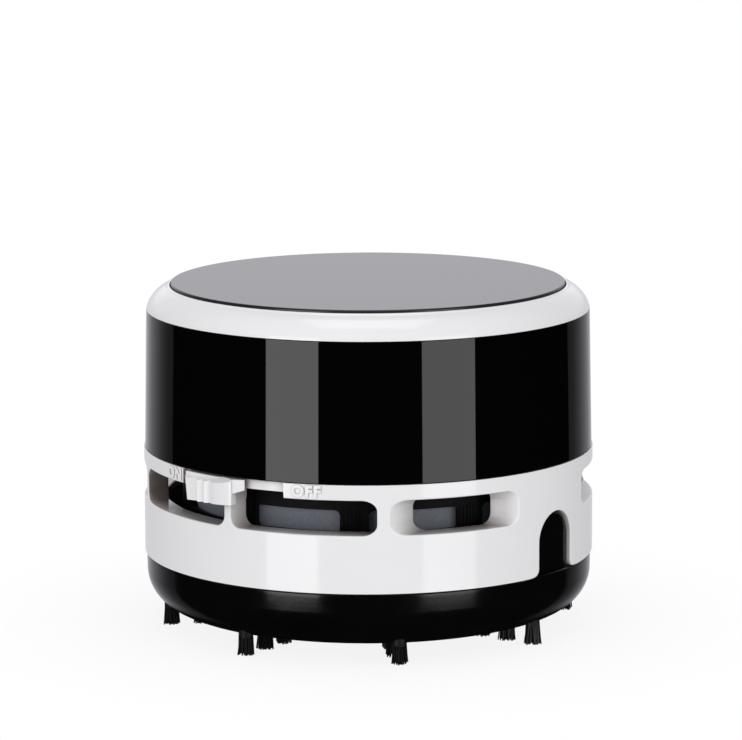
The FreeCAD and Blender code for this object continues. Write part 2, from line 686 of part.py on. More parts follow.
def vent_ring():
    """White ring: eight vents, the arch for the tongue and the switch's channel."""
    wall = "(%s - ring_wall)" % RING
    collar = "(%s - collar_depth)" % RING
    sill = "(%s - collar_sill)" % VENT_FOOT
    lip = "(%s - gap)" % INSIDE
    body = turned("ring_turning", (
        (wall, SEAM),
        (RING, SEAM),
        (RING, FOOT),
        (lip, FOOT),
        (lip, "%s + lip_height" % FOOT),
        ("%s - lip_wall" % lip, "%s + lip_height" % FOOT),
        ("%s - lip_wall" % lip, FOOT),
        ("%s - ledge_depth" % RING, FOOT),
        ("%s - ledge_depth" % RING, LEDGE),
        (collar, LEDGE),
        (collar, sill),
        (wall, "%s - sill_slope" % sill),
    ))
    arch_centre = "(%s + arch_height - arch_half)" % SEAM
    arch_box = block("arch_box", "2 * arch_half", "20", "%s - %s + 1" % (arch_centre, SEAM),
                     "-arch_half", "-%s - 10" % RING, "%s - 1" % SEAM)
    arch_top = rod("arch_top", "arch_half", "20", "0", "-%s - 10" % RING, arch_centre,
                   Vector(0, 1, 0))
    flares = []
    for x, centre, tag in (("arch_half", "arch_half + arch_flare", "right"),
                           ("-arch_half - arch_flare", "-arch_half - arch_flare", "left")):
        corner = block("flare_corner_" + tag, "arch_flare", "20", "arch_flare + 1", x,
                       "-%s - 10" % RING, "%s - 1" % SEAM)
        kept = rod("flare_kept_" + tag, "arch_flare", "22", centre, "-%s - 11" % RING,
                   "%s + arch_flare" % SEAM, Vector(0, 1, 0))
        flares.append(cut("flare_" + tag, corner, kept))
    arch = turn_with_arch(fuse("arch", arch_box, arch_top, *flares))
    sweep = "(channel_end - channel_start)"
    recess = sector("channel_recess", "%s - channel_depth" % RING, "%s + 5" % RING,
                    "channel_bar + 1", BAR_FOOT, "channel_start", sweep)
    lift = "(%s - %s + vent_corner)" % (BAR_FOOT, VENT_TOP)
    raised = [sector(name, "%s - 1" % collar, "%s + 5" % RING, lift,
                     "%s - vent_corner" % VENT_TOP, start, "(%s - %s)" % (end, start))
              for name, start, end in (("raised_left", "channel_start", POST_LEFT),
                                       ("raised_right", POST_RIGHT, "channel_end"))]
    slot_foot = "(%s - slider_gap)" % ARM_TOP
    slot_start = "(arm_start - slot_margin)"
    slot_sweep = "(arm_end - arm_start + switch_travel + 2 * slot_margin)"
    ledge_gap = sector("ledge_gap", "carrier_radius / 2", "slider_radius + slider_gap",
                       "(%s + lip_height + 1 - %s)" % (FOOT, slot_foot), slot_foot,
                       slot_start, slot_sweep)
    lip_gap = sector("lip_gap", "%s - lip_wall - gap" % lip, "%s + 0.01" % lip, "lip_height + 1",
                     FOOT, slot_start, slot_sweep)
    return cut("vent_ring", body, vent_cutters(), arch, recess, *raised, ledge_gap, lip_gap)


keep(vent_ring(), "vent_ring")

# ---------------------------------------------------------------- switch


def point(angle, radius, height=0.0):
    """A point by its angle from the front, its radius and its height."""
    return direction(angle) * radius + Vector(0, 0, height)


def prism(lines, arcs, foot, height):
    """An upright block from an outline: straight runs of points joined by arcs."""
    edges = [Part.makeLine(a, b) for run in lines for a, b in zip(run, run[1:])]
    edges += [Part.Arc(a, middle, b).toShape() for a, middle, b in arcs]
    face = Part.Face(Part.Wire(Part.__sortEdges__(edges)))
    face.translate(Vector(0, 0, foot))
    return face.extrude(Vector(0, 0, height))


def beyond(first, second, third):
    """A thick disc that fills the side of a plane to which its normal points."""
    normal = (second - first).cross(third - first)
    return Part.makeCylinder(size("body_radius"), size("ring_height"), first, normal)


def slice_of_ring(inner, outer, foot, height, start, end):
    """The shape of a slice of a ring, from plain numbers."""
    ring = Part.makeCylinder(outer, height, Vector(0, 0, foot), Vector(0, 0, 1), end - start)
    ring = ring.cut(Part.makeCylinder(inner, height + 2, Vector(0, 0, foot - 1)))
    ring.rotate(Vector(0, 0, 0), Vector(0, 0, 1), start - 90)
    return ring


def knob_grip(back, front, foot, top):
    """The knob's block: three stepped ribs, then the crowned pad, under a leaning top."""
    start = size("knob_start")
    end = size("knob_block_end")
    pad = size("knob_pad_start")
    pitch = size("rib_pitch")
    edge = front - size("knob_pad_crown")
    outline = [point(start, back)]
    for step in range(3):
        root = front - size("rib_root") + step * size("rib_climb")
        left = start if step == 0 else pad - (3 - step) * pitch
        right = pad - (2 - step) * pitch - (1 - size("rib_share")) * pitch
        outline.append(point(left, root + size("rib_crest")))
        outline.append(point(right, root))
    outline.append(point(pad, edge))
    crown = (point(pad, edge), point((pad + end) / 2, front), point(end, edge))
    rear = (point(end, back), point((start + end) / 2, back), point(start, back))
    grip = prism([outline, [point(end, edge), point(end, back)]], [crown, rear], foot, top - foot)
    crest = front - size("rib_root") + size("rib_crest")
    upper = beyond(point(start, back, top - size("knob_back_drop")),
                   point(start, crest, top - size("knob_front_drop")),
                   point(end, front, top - size("knob_right_drop")))
    lower = beyond(point(start, front, foot), point(start, back, foot),
                   point(end, front, foot + size("knob_lift")))
    slant = beyond(point(start, back, top), point(start + size("knob_slant"), back, foot),
                   point(start + size("knob_skew"), crest, top))
    return grip.cut([upper, lower, slant])


def knob_tab(back, front, top):
    """The knob's tab: a wedge that thins out along the channel."""
    start = size("knob_block_end")
    end = size("knob_end")
    root = start - size("rail_inset")
    edge = front - size("knob_pad_crown")
    thin = back + size("knob_tab_wall")
    foot = top - size("knob_tab")
    rear = (point(end, back), point((root + end) / 2, back), point(root, back))
    wedge = prism([[point(root, back), point(root, edge - size("gap")),
                    point(start, edge - size("gap")), point(end, thin), point(end, back)]],
                  [rear], foot, top - foot)
    under = beyond(point(start, front, foot), point(start, back, foot),
                   point(end, front, foot + size("knob_tab_lift")))
    return wedge.cut(under)


def switch_knob():
    """Slide knob: stepped grip, tab, a rail in the channel and the arm through the vent."""
    ring = size("body_radius") + size("ring_step")
    back = ring + size("part_gap")
    front = back + size("knob_thickness")
    top = shell_foot() - size("knob_drop")
    grip = knob_grip(back, front, top - size("knob_height"), top)
    tab = knob_tab(back, front, top)
    rail = slice_of_ring(ring - size("channel_depth") + size("part_gap"),
                         back + size("knob_tab_wall"), top - size("rail_drop"),
                         size("rail_height"), size("knob_start") + size("rail_inset"),
                         size("knob_end") - size("rail_inset"))
    arm_top = shell_foot() - size("channel_bar") - size("arm_gap")
    arm = slice_of_ring(size("slider_radius") - size("slider_wall"), back + size("part_gap"),
                        arm_top - size("arm_height"), size("arm_height"),
                        size("arm_start"), size("arm_end"))
    piece = doc.addObject("Part::Feature", "switch_knob")
    piece.Shape = grip.fuse([tab, rail, arm]).removeSplitter()
    return piece


def switch_slider():
    """Black upright on the arm's end, behind the ring, that carries the wiper."""
    width = "(arm_end - arm_start)"
    upright = sector("slider_upright", "slider_radius - slider_wall", "slider_radius",
                     "(%s + slider_rise - %s)" % (FOOT, ARM_TOP), ARM_TOP, "arm_start", width)
    head = sector("slider_head", "carrier_radius - carrier_wall + gap", "slider_radius",
                  "(slider_rise + head_drop)", "(%s - head_drop)" % FOOT, "arm_start", width)
    return fuse("switch_slider", upright, head)


def switch_wiper():
    """Brass leaf on the slider that bridges the two fixed strips."""
    outer = "(carrier_radius - carrier_wall + gap)"
    inner = "(%s + contact_wall + wiper_gap)" % CONTACT_FACE
    start = "(arm_start + wiper_inset)"
    width = "(arm_end - arm_start - 2 * wiper_inset)"
    centred = "(contact_width - wiper_foot) / 2"
    leaf = sector("wiper_leaf", "%s - contact_wall" % outer, outer, "wiper_height", FOOT,
                  start, width)
    low_foot = sector("wiper_low_foot", inner, outer, "wiper_foot",
                      "(%s - contact_drop + %s)" % (FOOT, centred), start, width)
    high_foot = sector("wiper_high_foot", inner, outer, "wiper_foot",
                       "(%s + contact_rise + %s)" % (FOOT, centred), start, width)
    return fuse("switch_wiper", leaf, low_foot, high_foot)


def switch_contacts():
    """Two fixed brass strips: a long one, and one that ends where the switch is off."""
    face = "(%s + contact_wall)" % CONTACT_FACE
    long_strip = sector("long_contact", CONTACT_FACE, face, "contact_width",
                        "(%s + contact_rise)" % FOOT, "contact_start",
                        "(long_contact_end - contact_start)")
    short_strip = sector("short_contact", CONTACT_FACE, face, "contact_width",
                         "(%s - contact_drop)" % FOOT, "contact_start",
                         "(short_contact_end - contact_start)")
    return group("switch_contacts", [long_strip, short_strip])


keep(switch_knob(), "switch_knob")
keep(switch_slider(), "switch_slider")
keep(switch_wiper(), "switch_wiper")
keep(switch_contacts(), "switch_contacts")

# ---------------------------------------------------------------- upper shell


def upper_shell():
    """Gloss black shell: a drafted tube with a ledge for the battery tray."""
    ledge_foot = "(%s + tray_ledge)" % FOOT
    ledge_reach = "(%s - tray_ledge_depth)" % INSIDE
    body = turned("upper_shell", (
        (INSIDE, FOOT),
        ("body_radius + shell_draft", FOOT),
        ("body_radius", LID),
        (INSIDE, LID),
        (INSIDE, TRAY_SEAT),
        (ledge_reach, TRAY_SEAT),
        (ledge_reach, ledge_foot),
        (INSIDE, "%s - tray_ledge_depth" % ledge_foot),
    ))
    return body


keep(upper_shell(), "upper_shell")

# ---------------------------------------------------------------- motor carrier


def motor_outline(name, grow, height, foot):
    """A block with the motor's section, grown by a clearance or a wall."""
    round_part = cylinder(name + "_round", "motor_radius + %s" % grow, height, foot)
    flat_part = block(name + "_flat", "80", "2 * (motor_half + %s)" % grow, height, "-40",
                      "-(motor_half + %s)" % grow, foot)
    return common(name, round_part, flat_part)


def screw_places():
    """Place formulas of the three long screws."""
    for index in range(3):
        angle = "(boss_turn + %d)" % (120 * index)
        yield index, "boss_ring * sin(%s)" % angle, "-boss_ring * cos(%s)" % angle


def window_cutter():
    """Rounded windows round the carrier's wall."""
    deck_foot = shell_foot() - size("deck_drop") - size("carrier_wall")
    top = deck_foot - size("window_drop")
    half = size("window_half")
    reach = size("carrier_radius")
    shapes = []
    for index in range(int(size("window_count"))):
        window = Part.makeBox(2 * half, 8, size("window_height"),
                              Vector(-half, -reach - 3, top - size("window_height")))
        upright = [edge for edge in window.Edges
                   if abs(edge.tangentAt(edge.FirstParameter).y) > 0.9]
        window = window.makeFillet(size("window_corner"), upright)
        window.rotate(Vector(0, 0, 0), Vector(0, 0, 1),
                      size("window_turn") + index * 360.0 / size("window_count"))
        shapes.append(window)
    cutter = doc.addObject("Part::Feature", "window_cutter")
    cutter.Shape = Part.makeCompound(shapes)
    return cutter


def motor_carrier():
    """Black carrier: deck under the motor, wall with windows, flange and contact wall."""
    inner = "(carrier_radius - carrier_wall)"
    flange = "(%s - collar_depth - gap)" % RING
    flange_foot = "(%s - flange_thickness)" % LEDGE
    body = turned("carrier_turning", (
        (inner, SKIRT_FOOT),
        ("carrier_radius", SKIRT_FOOT),
        ("carrier_radius", flange_foot),
        (flange, flange_foot),
        (flange, LEDGE),
        (inner, LEDGE),
        (inner, DECK),
        ("boss_radius + part_gap", DECK),
        ("boss_radius + part_gap", DECK_FOOT),
        (inner, DECK_FOOT),
    ))
    collar = cut("motor_collar", motor_outline("collar_outside", "part_gap + collar_wall",
                                               "collar_height", DECK),
                 motor_outline("collar_inside", "part_gap", "collar_height + 1", DECK))
    contact_wall = sector("contact_wall_slice", "%s - carrier_wall" % CONTACT_FACE, CONTACT_FACE,
                          "(%s + slider_rise + gap - %s)" % (FOOT, DECK), DECK,
                          "(contact_start - contact_margin)",
                          "(long_contact_end - contact_start + 2 * contact_margin)")
    solid = fuse("carrier_solid", body, collar, contact_wall)
    notch = sector("flange_notch", "carrier_radius", "%s + 2" % flange, "flange_thickness + 2",
                   "%s - 1" % flange_foot, "(arm_start - notch_margin)",
                   "(arm_end - arm_start + switch_travel + 2 * notch_margin)")
    cuts = [window_cutter(), notch]
    for index, x, y in screw_places():
        cuts.append(rod("carrier_hole_%d" % index, "screw_radius + part_gap", "carrier_wall + 2",
                        x, y, "%s - 1" % DECK_FOOT))
        cuts.append(screw_cone("countersink_%d" % index, "part_gap", x, y))
    return cut("motor_carrier", solid, *cuts)


def screw_cone(name, grow, x, y):
    """A screw's countersunk head, or the sink for it, grown by a clearance."""
    cone = doc.addObject("Part::Cone", name)
    for prop, text in (("Radius1", "screw_head + %s" % grow),
                       ("Radius2", "screw_radius + %s" % grow),
                       ("Height", "carrier_wall * screw_sink"), ("Placement.Base.x", x),
                       ("Placement.Base.y", y), ("Placement.Base.z", DECK_FOOT)):
        bind(cone, prop, text)
    return cone


def carrier_screws():
    """Three countersunk screws from the carrier up into the tray's bosses."""
    screws = []
    for index, x, y in screw_places():
        thread = rod("screw_thread_%d" % index, "screw_radius", "screw_length", x, y, DECK_FOOT)
        head = screw_cone("screw_head_%d" % index, "0", x, y)
        screws.append(fuse("screw_%d" % index, thread, head))
    return group("carrier_screws", screws)


def inlet_plate():
    """Plate under the fan with a lipped eye and a rib that centres it in the carrier."""
    rib = "(carrier_radius - carrier_wall - gap)"
    return turned("inlet_plate", (
        ("eye_radius", INLET_FOOT),
        ("carrier_radius", INLET_FOOT),
        ("carrier_radius", SKIRT_FOOT),
        (rib, SKIRT_FOOT),
        (rib, "%s + inlet_rib_height" % SKIRT_FOOT),
        ("%s - inlet_rib" % rib, "%s + inlet_rib_height" % SKIRT_FOOT),
        ("%s - inlet_rib" % rib, SKIRT_FOOT),
        ("eye_radius + inlet_rib", SKIRT_FOOT),
        ("eye_radius + inlet_rib", "%s + eye_lip" % SKIRT_FOOT),
        ("eye_radius", "%s + eye_lip" % SKIRT_FOOT),
    ))


def outlet_filter():
    """Grey filter strip that lines the carrier's windows."""
    outer = "(carrier_radius - carrier_wall - part_gap)"
    foot = "(%s + inlet_rib_height + part_gap)" % SKIRT_FOOT
    top = "(%s - part_gap)" % DECK_FOOT
    return turned("outlet_filter", (
        ("%s - strip_thickness" % outer, foot),
        (outer, foot),
        (outer, top),
        ("%s - strip_thickness" % outer, top),
    ))


def filter_frame():
    """Round frame that clips under the inlet plate and holds the mesh on four spokes."""
    seat = "(%s + mesh_seat)" % FILTER_FOOT
    inner = "(filter_radius - filter_rim)"
    rim = turned("filter_rim_ring", (
        (inner, FILTER_FOOT),
        ("filter_radius", FILTER_FOOT),
        ("filter_radius", INLET_FOOT),
        ("%s + mesh_rebate" % inner, INLET_FOOT),
        ("%s + mesh_rebate" % inner, seat),
        (inner, seat),
    ))
    reach = "(%s + spoke_lap)" % inner
    spokes = [
        block("spoke_x", "2 * %s" % reach, "spoke_width", "mesh_seat",
              "-%s" % reach, "-spoke_width / 2", FILTER_FOOT),
        block("spoke_y", "spoke_width", "2 * %s" % reach, "mesh_seat",
              "-spoke_width / 2", "-%s" % reach, FILTER_FOOT)]
    hub_ring = cut("filter_hub_ring", cylinder("hub_ring_outer", "eye_radius", "mesh_seat",
                                               FILTER_FOOT),
                   cylinder("hub_ring_inner", "eye_radius - spoke_width", "mesh_seat + 2",
                            "%s - 1" % FILTER_FOOT))
    return fuse("filter_frame", rim, hub_ring, *spokes)


def filter_mesh():
    """Woven mesh disc in the frame's rebate."""
    return cylinder("filter_mesh", "filter_radius - filter_rim + mesh_rebate - part_gap",
                    "mesh_thickness", "%s + mesh_seat" % FILTER_FOOT)


keep(motor_carrier(), "motor_carrier")
keep(carrier_screws(), "carrier_screws")
keep(inlet_plate(), "inlet_plate")
keep(outlet_filter(), "outlet_filter")
keep(filter_frame(), "filter_frame")
keep(filter_mesh(), "filter_mesh")

# ---------------------------------------------------------------- fan and motor


def blade_sketch(body):
    """Outline of one backward-curved blade between the root and tip circles."""
    sketch = new_sketch(body, "XY_Plane", "BladeOutline")
    root = size("blade_root")
    tip = size("fan_radius") - size("blade_inset")
    arc = size("blade_arc")
    thin = size("blade_thickness")
    centre_out = math.hypot(root, tip) / 2 + size("blade_swing")
    centre = Vector(centre_out, 0, 0)
    upward = Vector(0, 0, 1)

    def crossing(radius, reach):
        """Where the circle of this radius about the blade's centre meets the reach."""
        x = (reach * reach - radius * radius + centre_out * centre_out) / (2 * centre_out)
        return Vector(x, -math.sqrt(max(reach * reach - x * x, 0.0)), 0)

    def turn(spot):
        return math.atan2(spot.y, spot.x - centre_out)

    for radius in (arc, arc - thin):
        ends = sorted(turn(crossing(radius, reach)) % (2 * math.pi) for reach in (root, tip))
        sketch.addGeometry(Part.ArcOfCircle(Part.Circle(centre, upward, radius), *ends), False)
    for reach in (root, tip):
        sketch.addGeometry(Part.LineSegment(crossing(arc, reach), crossing(arc - thin, reach)), False)
    for reach in (root, tip):
        sketch.addGeometry(Part.Circle(Vector(0, 0, 0), upward, reach), True)
    outer, inner, root_line, tip_line, root_circle, tip_circle = range(6)
    for kind, *where in (("Coincident", outer, 3, inner, 3), ("PointOnObject", outer, 3, -1),
                         ("Coincident", root_circle, 3, -1, 1), ("Coincident", tip_circle, 3, -1, 1),
                         ("Coincident", outer, 1, root_line, 1), ("Coincident", inner, 1, root_line, 2),
                         ("Coincident", outer, 2, tip_line, 1), ("Coincident", inner, 2, tip_line, 2),
                         ("PointOnObject", outer, 1, root_circle),
                         ("PointOnObject", inner, 1, root_circle),
                         ("PointOnObject", outer, 2, tip_circle),
                         ("PointOnObject", inner, 2, tip_circle)):
        sketch.addConstraint(Sketcher.Constraint(kind, *where))
    reach = "(fan_radius - blade_inset)"
    index = sketch.addConstraint(Sketcher.Constraint("DistanceX", -1, 1, outer, 3, centre_out))
    bind(sketch, "Constraints[%d]" % index, "sqrt(blade_root^2 + %s^2) / 2 + blade_swing" % reach)
    for thing, text, value in ((outer, "blade_arc", arc), (root_circle, "blade_root", root),
                               (inner, "blade_arc - blade_thickness", arc - thin),
                               (tip_circle, reach, tip)):
        index = sketch.addConstraint(Sketcher.Constraint("Radius", thing, value))
        bind(sketch, "Constraints[%d]" % index, text)
    return sketch


def fan():
    """Radial fan: hub and back plate with curved blades hanging below."""
    body = doc.addObject("PartDesign::Body", "fan")
    profile = new_sketch(body, "XZ_Plane", "HalfProfile")
    bore = "shaft_radius + thread_gap"
    polygon(profile, (
        (bore, "%s + hub_rise" % BLADE_FOOT),
        ("hub_radius", "%s + hub_rise" % BLADE_FOOT),
        ("hub_radius", BLADE_TOP),
        ("fan_radius", BLADE_TOP),
        ("fan_radius", FAN_TOP),
        ("hub_radius - hub_step", FAN_TOP),
        ("hub_radius - hub_step", "%s + hub_rise" % FAN_TOP),
        (bore, "%s + hub_rise" % FAN_TOP),
    ))
    revolve(body, profile)
    doc.recompute()
    outline = blade_sketch(body)
    bind(outline, "AttachmentOffset.Base.z", BLADE_FOOT)
    blade = body.newObject("PartDesign::Pad", "Blade")
    blade.Profile = outline
    bind(blade, "Length", "blade_height + fan_plate / 2")
    body.Tip = blade
    doc.recompute()
    ring = body.newObject("PartDesign::PolarPattern", "Blades")
    ring.Originals = [blade]
    ring.Axis = (outline, ["N_Axis"])
    ring.Angle = 360
    bind(ring, "Occurrences", "blade_count")
    body.Tip = ring
    doc.recompute()
    return body


def motor_shaft():
    """Steel shaft from the fan up into the motor's end cap."""
    foot = "(%s + hub_rise)" % BLADE_FOOT
    return cylinder("motor_shaft", "shaft_radius", "%s + rear_boss_height - %s - shaft_recess"
                    % (CAP_TOP, foot), foot)


def motor_can():
    """Steel can with two flats and a bearing boss that sits in the deck."""
    can = motor_outline("can_block", "0", "can_length", DECK)
    boss = cylinder("can_boss", "boss_radius", "carrier_wall - boss_recess + 1",
                    "%s + boss_recess" % DECK_FOOT)
    bore = cylinder("can_bore", "shaft_radius + pin_gap", "can_length + carrier_wall + 2",
                    "%s - 1" % DECK_FOOT)
    return cut("motor_can", fuse("can_solid", can, boss), bore)


def motor_end_cap():
    """Plastic end cap with its rear bearing boss."""
    cap = motor_outline("cap_block", "-cap_step", "cap_length", CAN_TOP)
    boss = cylinder("cap_boss", "rear_boss", "rear_boss_height", CAP_TOP)
    bore = cylinder("cap_bore", "shaft_radius + pin_gap", "cap_length + rear_boss_height + 2",
                    "%s - 1" % CAN_TOP)
    return cut("motor_end_cap", fuse("cap_solid", cap, boss), bore)


def motor_terminals():
    """Two brass solder tags on the end cap."""
    inside = "(motor_radius - terminal_inset)"
    tags = []
    for tag, x in (("left", "-%s" % inside), ("right", "%s - terminal_thickness" % inside)):
        tags.append(block("terminal_" + tag, "terminal_thickness", "terminal_width",
                          "terminal_height", x, "-terminal_width / 2", CAP_TOP))
    return group("motor_terminals", tags)


keep(fan(), "fan")
keep(motor_shaft(), "motor_shaft")
keep(motor_can(), "motor_can")
keep(motor_end_cap(), "motor_end_cap")
keep(motor_terminals(), "motor_terminals")

# ---------------------------------------------------------------- battery tray and cells


def bay_outline(name, grow, height, foot):
    """The battery bay's block, clipped by the round shell, less a wall or nothing."""
    disc = cylinder(name + "_disc", "%s + %s - tray_wall" % (TRAY_RADIUS, grow), height, foot)
    half_width = "(cell_offset + cell_radius + gap + %s)" % grow
    half_length = "(bay_half_length + %s)" % grow
    box = block(name + "_box", "2 * %s" % half_length, "2 * %s" % half_width, height,
                "-%s" % half_length, "-%s" % half_width, foot)
    return common(name, disc, box)


def battery_tray():
    """Black tray: round floor, cell bay, motor sleeve, wire holes and hanging bosses."""
    floor = cylinder("tray_floor_disc", TRAY_RADIUS, "tray_floor", TRAY_SEAT)
    walls = cut("tray_walls", bay_outline("bay_outside", "tray_wall", "tray_rise", TRAY_TOP),
                bay_outline("bay_inside", "0", "tray_rise + 1", TRAY_TOP))
    sleeve = motor_outline("sleeve_outside", "part_gap + collar_wall", "tray_rise + tray_floor",
                           TRAY_SEAT)
    bosses = []
    holes = []
    for index, x, y in screw_places():
        bosses.append(rod("tray_boss_%d" % index, "boss_outer", "%s - %s + 0.2" % (TRAY_SEAT, DECK),
                          x, y, DECK))
        holes.append(rod("tray_boss_hole_%d" % index, "screw_radius + thread_gap",
                         "screw_length + screw_room - carrier_wall + 1", x, y, "%s - 1" % DECK))
    well = motor_outline("sleeve_inside", "part_gap", "tray_rise + tray_floor + 2",
                         "%s - 1" % TRAY_SEAT)
    beside = "(bay_half_length + tray_wall + gap)"
    for tag, x in (("right", beside), ("left", "-%s - wire_hole_width" % beside)):
        holes.append(block("wire_hole_" + tag, "wire_hole_width", "wire_hole_length",
                           "tray_floor + 2", x, "-wire_hole_length / 2", "%s - 1" % TRAY_SEAT))
    solid = fuse("tray_solid", floor, walls, sleeve, *bosses)
    return cut("battery_tray", solid, well, *holes)


def battery_cell(name, side, facing):
    """One round cell along X, its nub towards the facing side."""
    solid = doc.addObject("Part::Feature", name)
    radius = size("cell_radius")
    length = size("cell_length")
    nub = size("nub_length")
    total = length + nub
    axis = Vector(facing, 0, 0)
    start = Vector(-facing * total / 2, 0, 0)
    tube = Part.makeCylinder(radius, length, start, axis)
    rims = [edge for edge in tube.Edges if isinstance(edge.Curve, Part.Circle)]
    tube = tube.makeFillet(size("cell_edge"), rims)
    tip = Part.makeCylinder(size("nub_radius"), nub + 1, start + axis * (length - 1), axis)
    solid.Shape = tube.fuse(tip).removeSplitter()
    bind(solid, "Placement.Base.y", "%d * cell_offset" % side)
    bind(solid, "Placement.Base.z", CELL_AXIS)
    return solid


def contact_bow(side, end):
    """One sprung contact sheet: a plate on the bay's end wall and a bow towards the cell."""
    metal = size("strip_metal")
    plate = size("bay_half_length") - size("strip_gap")
    leg = plate - size("bow_depth")
    tip = (size("cell_length") + size("nub_length")) / 2 + size("bow_gap")
    flat = size("bow_flat")
    foot = size("gap")
    top = foot + size("strip_height")
    middle = size("gap") + size("cell_radius")
    outline = [(plate, foot), (plate, top), (plate - metal, top), (tip, middle + flat),
               (tip, middle - flat), (leg, foot + flat), (leg + metal, foot + flat),
               (tip + metal, middle - flat + metal / 4), (tip + metal, middle + flat - metal / 2),
               (plate - metal, top - 2 * metal), (plate - metal, foot)]
    points = [Vector(end * x, side * (size("cell_offset") - 0.6) - size("strip_width") / 2, z)
              for x, z in outline]
    face = Part.Face(Part.makePolygon(points + points[:1]))
    return face.extrude(Vector(0, size("strip_width"), 0))


def contact(name, shapes):
    """A contact piece standing on the tray's floor."""
    piece = doc.addObject("Part::Feature", name)
    piece.Shape = shapes[0].fuse(shapes[1:]).removeSplitter() if len(shapes) > 1 else shapes[0]
    bind(piece, "Placement.Base.z", TRAY_TOP)
    return piece


def bridge_contact():
    """The contact that joins both cells at the left end."""
    plate = size("bay_half_length") - size("strip_gap")
    bar = Part.makeBox(size("strip_metal"), 2 * size("cell_offset"), size("bridge_height"),
                       Vector(-plate, -size("cell_offset"), size("gap")))
    return contact("bridge_contact", [contact_bow(1, -1), contact_bow(-1, -1), bar])


keep(battery_tray(), "battery_tray")
keep(battery_cell("front_cell", -1, 1), "front_cell")
keep(battery_cell("rear_cell", 1, -1), "rear_cell")
keep(bridge_contact(), "bridge_contact")
keep(contact("plus_contact", [contact_bow(-1, 1)]), "plus_contact")
keep(contact("minus_contact", [contact_bow(1, 1)]), "minus_contact")

# ---------------------------------------------------------------- lid


def cap_ring():
    """White lid ring: rounded shoulder, skirt inside the shell and the disc's seat."""
    skirt = "(%s - gap)" % INSIDE
    skirt_in = "(%s - skirt_wall)" % skirt
    seat = "(disc_radius + gap)"
    seat_top = "(%s - seat_depth)" % RIM
    body = turned("cap_ring", (
        ("body_radius", LID),
        ("body_radius - shoulder_lean", "%s + shoulder_rise" % LID),
        ("%s + rim_edge" % seat, RIM),
        (seat, "%s - rim_edge" % RIM),
        (seat, seat_top),
        ("%s - seat_width" % seat, seat_top),
        ("%s - seat_width" % seat, "%s - seat_thickness" % seat_top),
        (skirt_in, "%s - seat_thickness" % seat_top),
        (skirt_in, "%s - skirt_depth" % LID),
        (skirt, "%s - skirt_depth" % LID),
        (skirt, LID),
    ))
    side = "sqrt(shoulder_lean^2 + shoulder_rise^2)"
    crown = "(body_radius - shoulder_lean - disc_radius - gap - rim_edge)"
    bend = "(atan(shoulder_rise / shoulder_lean) - atan((cap_rise - shoulder_rise) / %s))" % crown
    most = "round_share * %s / tan(%s / 2)" % (side, bend)
    round_edges(body, "min(shoulder_round; %s)" % most,
                ((size("body_radius") - size("shoulder_lean"), lid_seam() + size("shoulder_rise")),))
    return body


def top_disc():
    """Dark top disc with a rounded edge, a foot round it and ribs that hold the cells."""
    top = "(%s + disc_proud)" % RIM
    under = "(%s - disc_wall)" % top
    foot = "(%s - seat_depth)" % RIM
    body = turned("disc_turning", (
        ("0", under),
        ("disc_radius - disc_foot", under),
        ("disc_radius - disc_foot", foot),
        ("disc_radius", foot),
        ("disc_radius", top),
        ("0", top),
    ))
    round_edges(body, "disc_edge", ((size("disc_radius"),
                                     lid_seam() + size("cap_rise") + size("disc_proud")),))
    cell_top = "(%s + cell_radius)" % CELL_AXIS
    ribs = []
    for side, tag in ((1, "right"), (-1, "left")):
        ribs.append(block("hold_rib_" + tag, "rib_thickness", "2 * (cell_offset + rib_reach)",
                          "%s - %s - gap + disc_wall / 2" % (under, cell_top),
                          "%d * rib_offset - rib_thickness / 2" % side,
                          "-(cell_offset + rib_reach)", "%s + gap" % cell_top))
    return fuse("top_disc", body, *ribs)


keep(cap_ring(), "cap_ring")
keep(top_disc(), "top_disc")

# ---------------------------------------------------------------- checks and export

doc.recompute()
for thing in doc.Objects:
    for state in ("Invalid", "Error"):
        if state in thing.State:
            raise RuntimeError("%s is %s: %s" % (thing.Name, state, thing.State))
os.makedirs("parts", exist_ok=True)
for node in NODES:
    shape = node.Shape
    if shape.isNull() or not shape.isValid() or not shape.Solids:
        raise RuntimeError("%s has no valid solid" % node.Label)
for node in NODES:
    node.Shape.exportStep(os.path.join("parts", node.Label + ".step"))
    print("%-18s solids %2d  volume %9.1f" % (node.Label, len(node.Shape.Solids),
                                             node.Shape.Volume))
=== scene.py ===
import math
import random

import bpy
from mathutils import Matrix, Vector


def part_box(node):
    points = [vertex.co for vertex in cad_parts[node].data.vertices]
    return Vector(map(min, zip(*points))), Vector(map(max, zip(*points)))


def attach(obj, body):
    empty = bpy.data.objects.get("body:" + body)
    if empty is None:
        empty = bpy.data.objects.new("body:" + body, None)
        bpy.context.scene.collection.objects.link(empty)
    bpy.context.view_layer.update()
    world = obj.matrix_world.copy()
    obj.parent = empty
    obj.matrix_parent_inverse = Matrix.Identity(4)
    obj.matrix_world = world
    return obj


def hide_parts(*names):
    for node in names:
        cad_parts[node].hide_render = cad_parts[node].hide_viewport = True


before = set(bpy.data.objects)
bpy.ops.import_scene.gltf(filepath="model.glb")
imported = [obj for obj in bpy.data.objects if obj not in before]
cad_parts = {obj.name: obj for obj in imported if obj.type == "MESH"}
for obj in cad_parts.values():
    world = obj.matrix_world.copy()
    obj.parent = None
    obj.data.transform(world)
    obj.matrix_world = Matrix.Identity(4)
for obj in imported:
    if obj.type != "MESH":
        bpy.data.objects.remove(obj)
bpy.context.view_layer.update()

# Desk vacuum, put together from the desk upwards. Lengths are in metres, the seams and
# most outer radii come from the frame, and bearings are in degrees from the front (-Y),
# growing towards the right-hand side (+X).

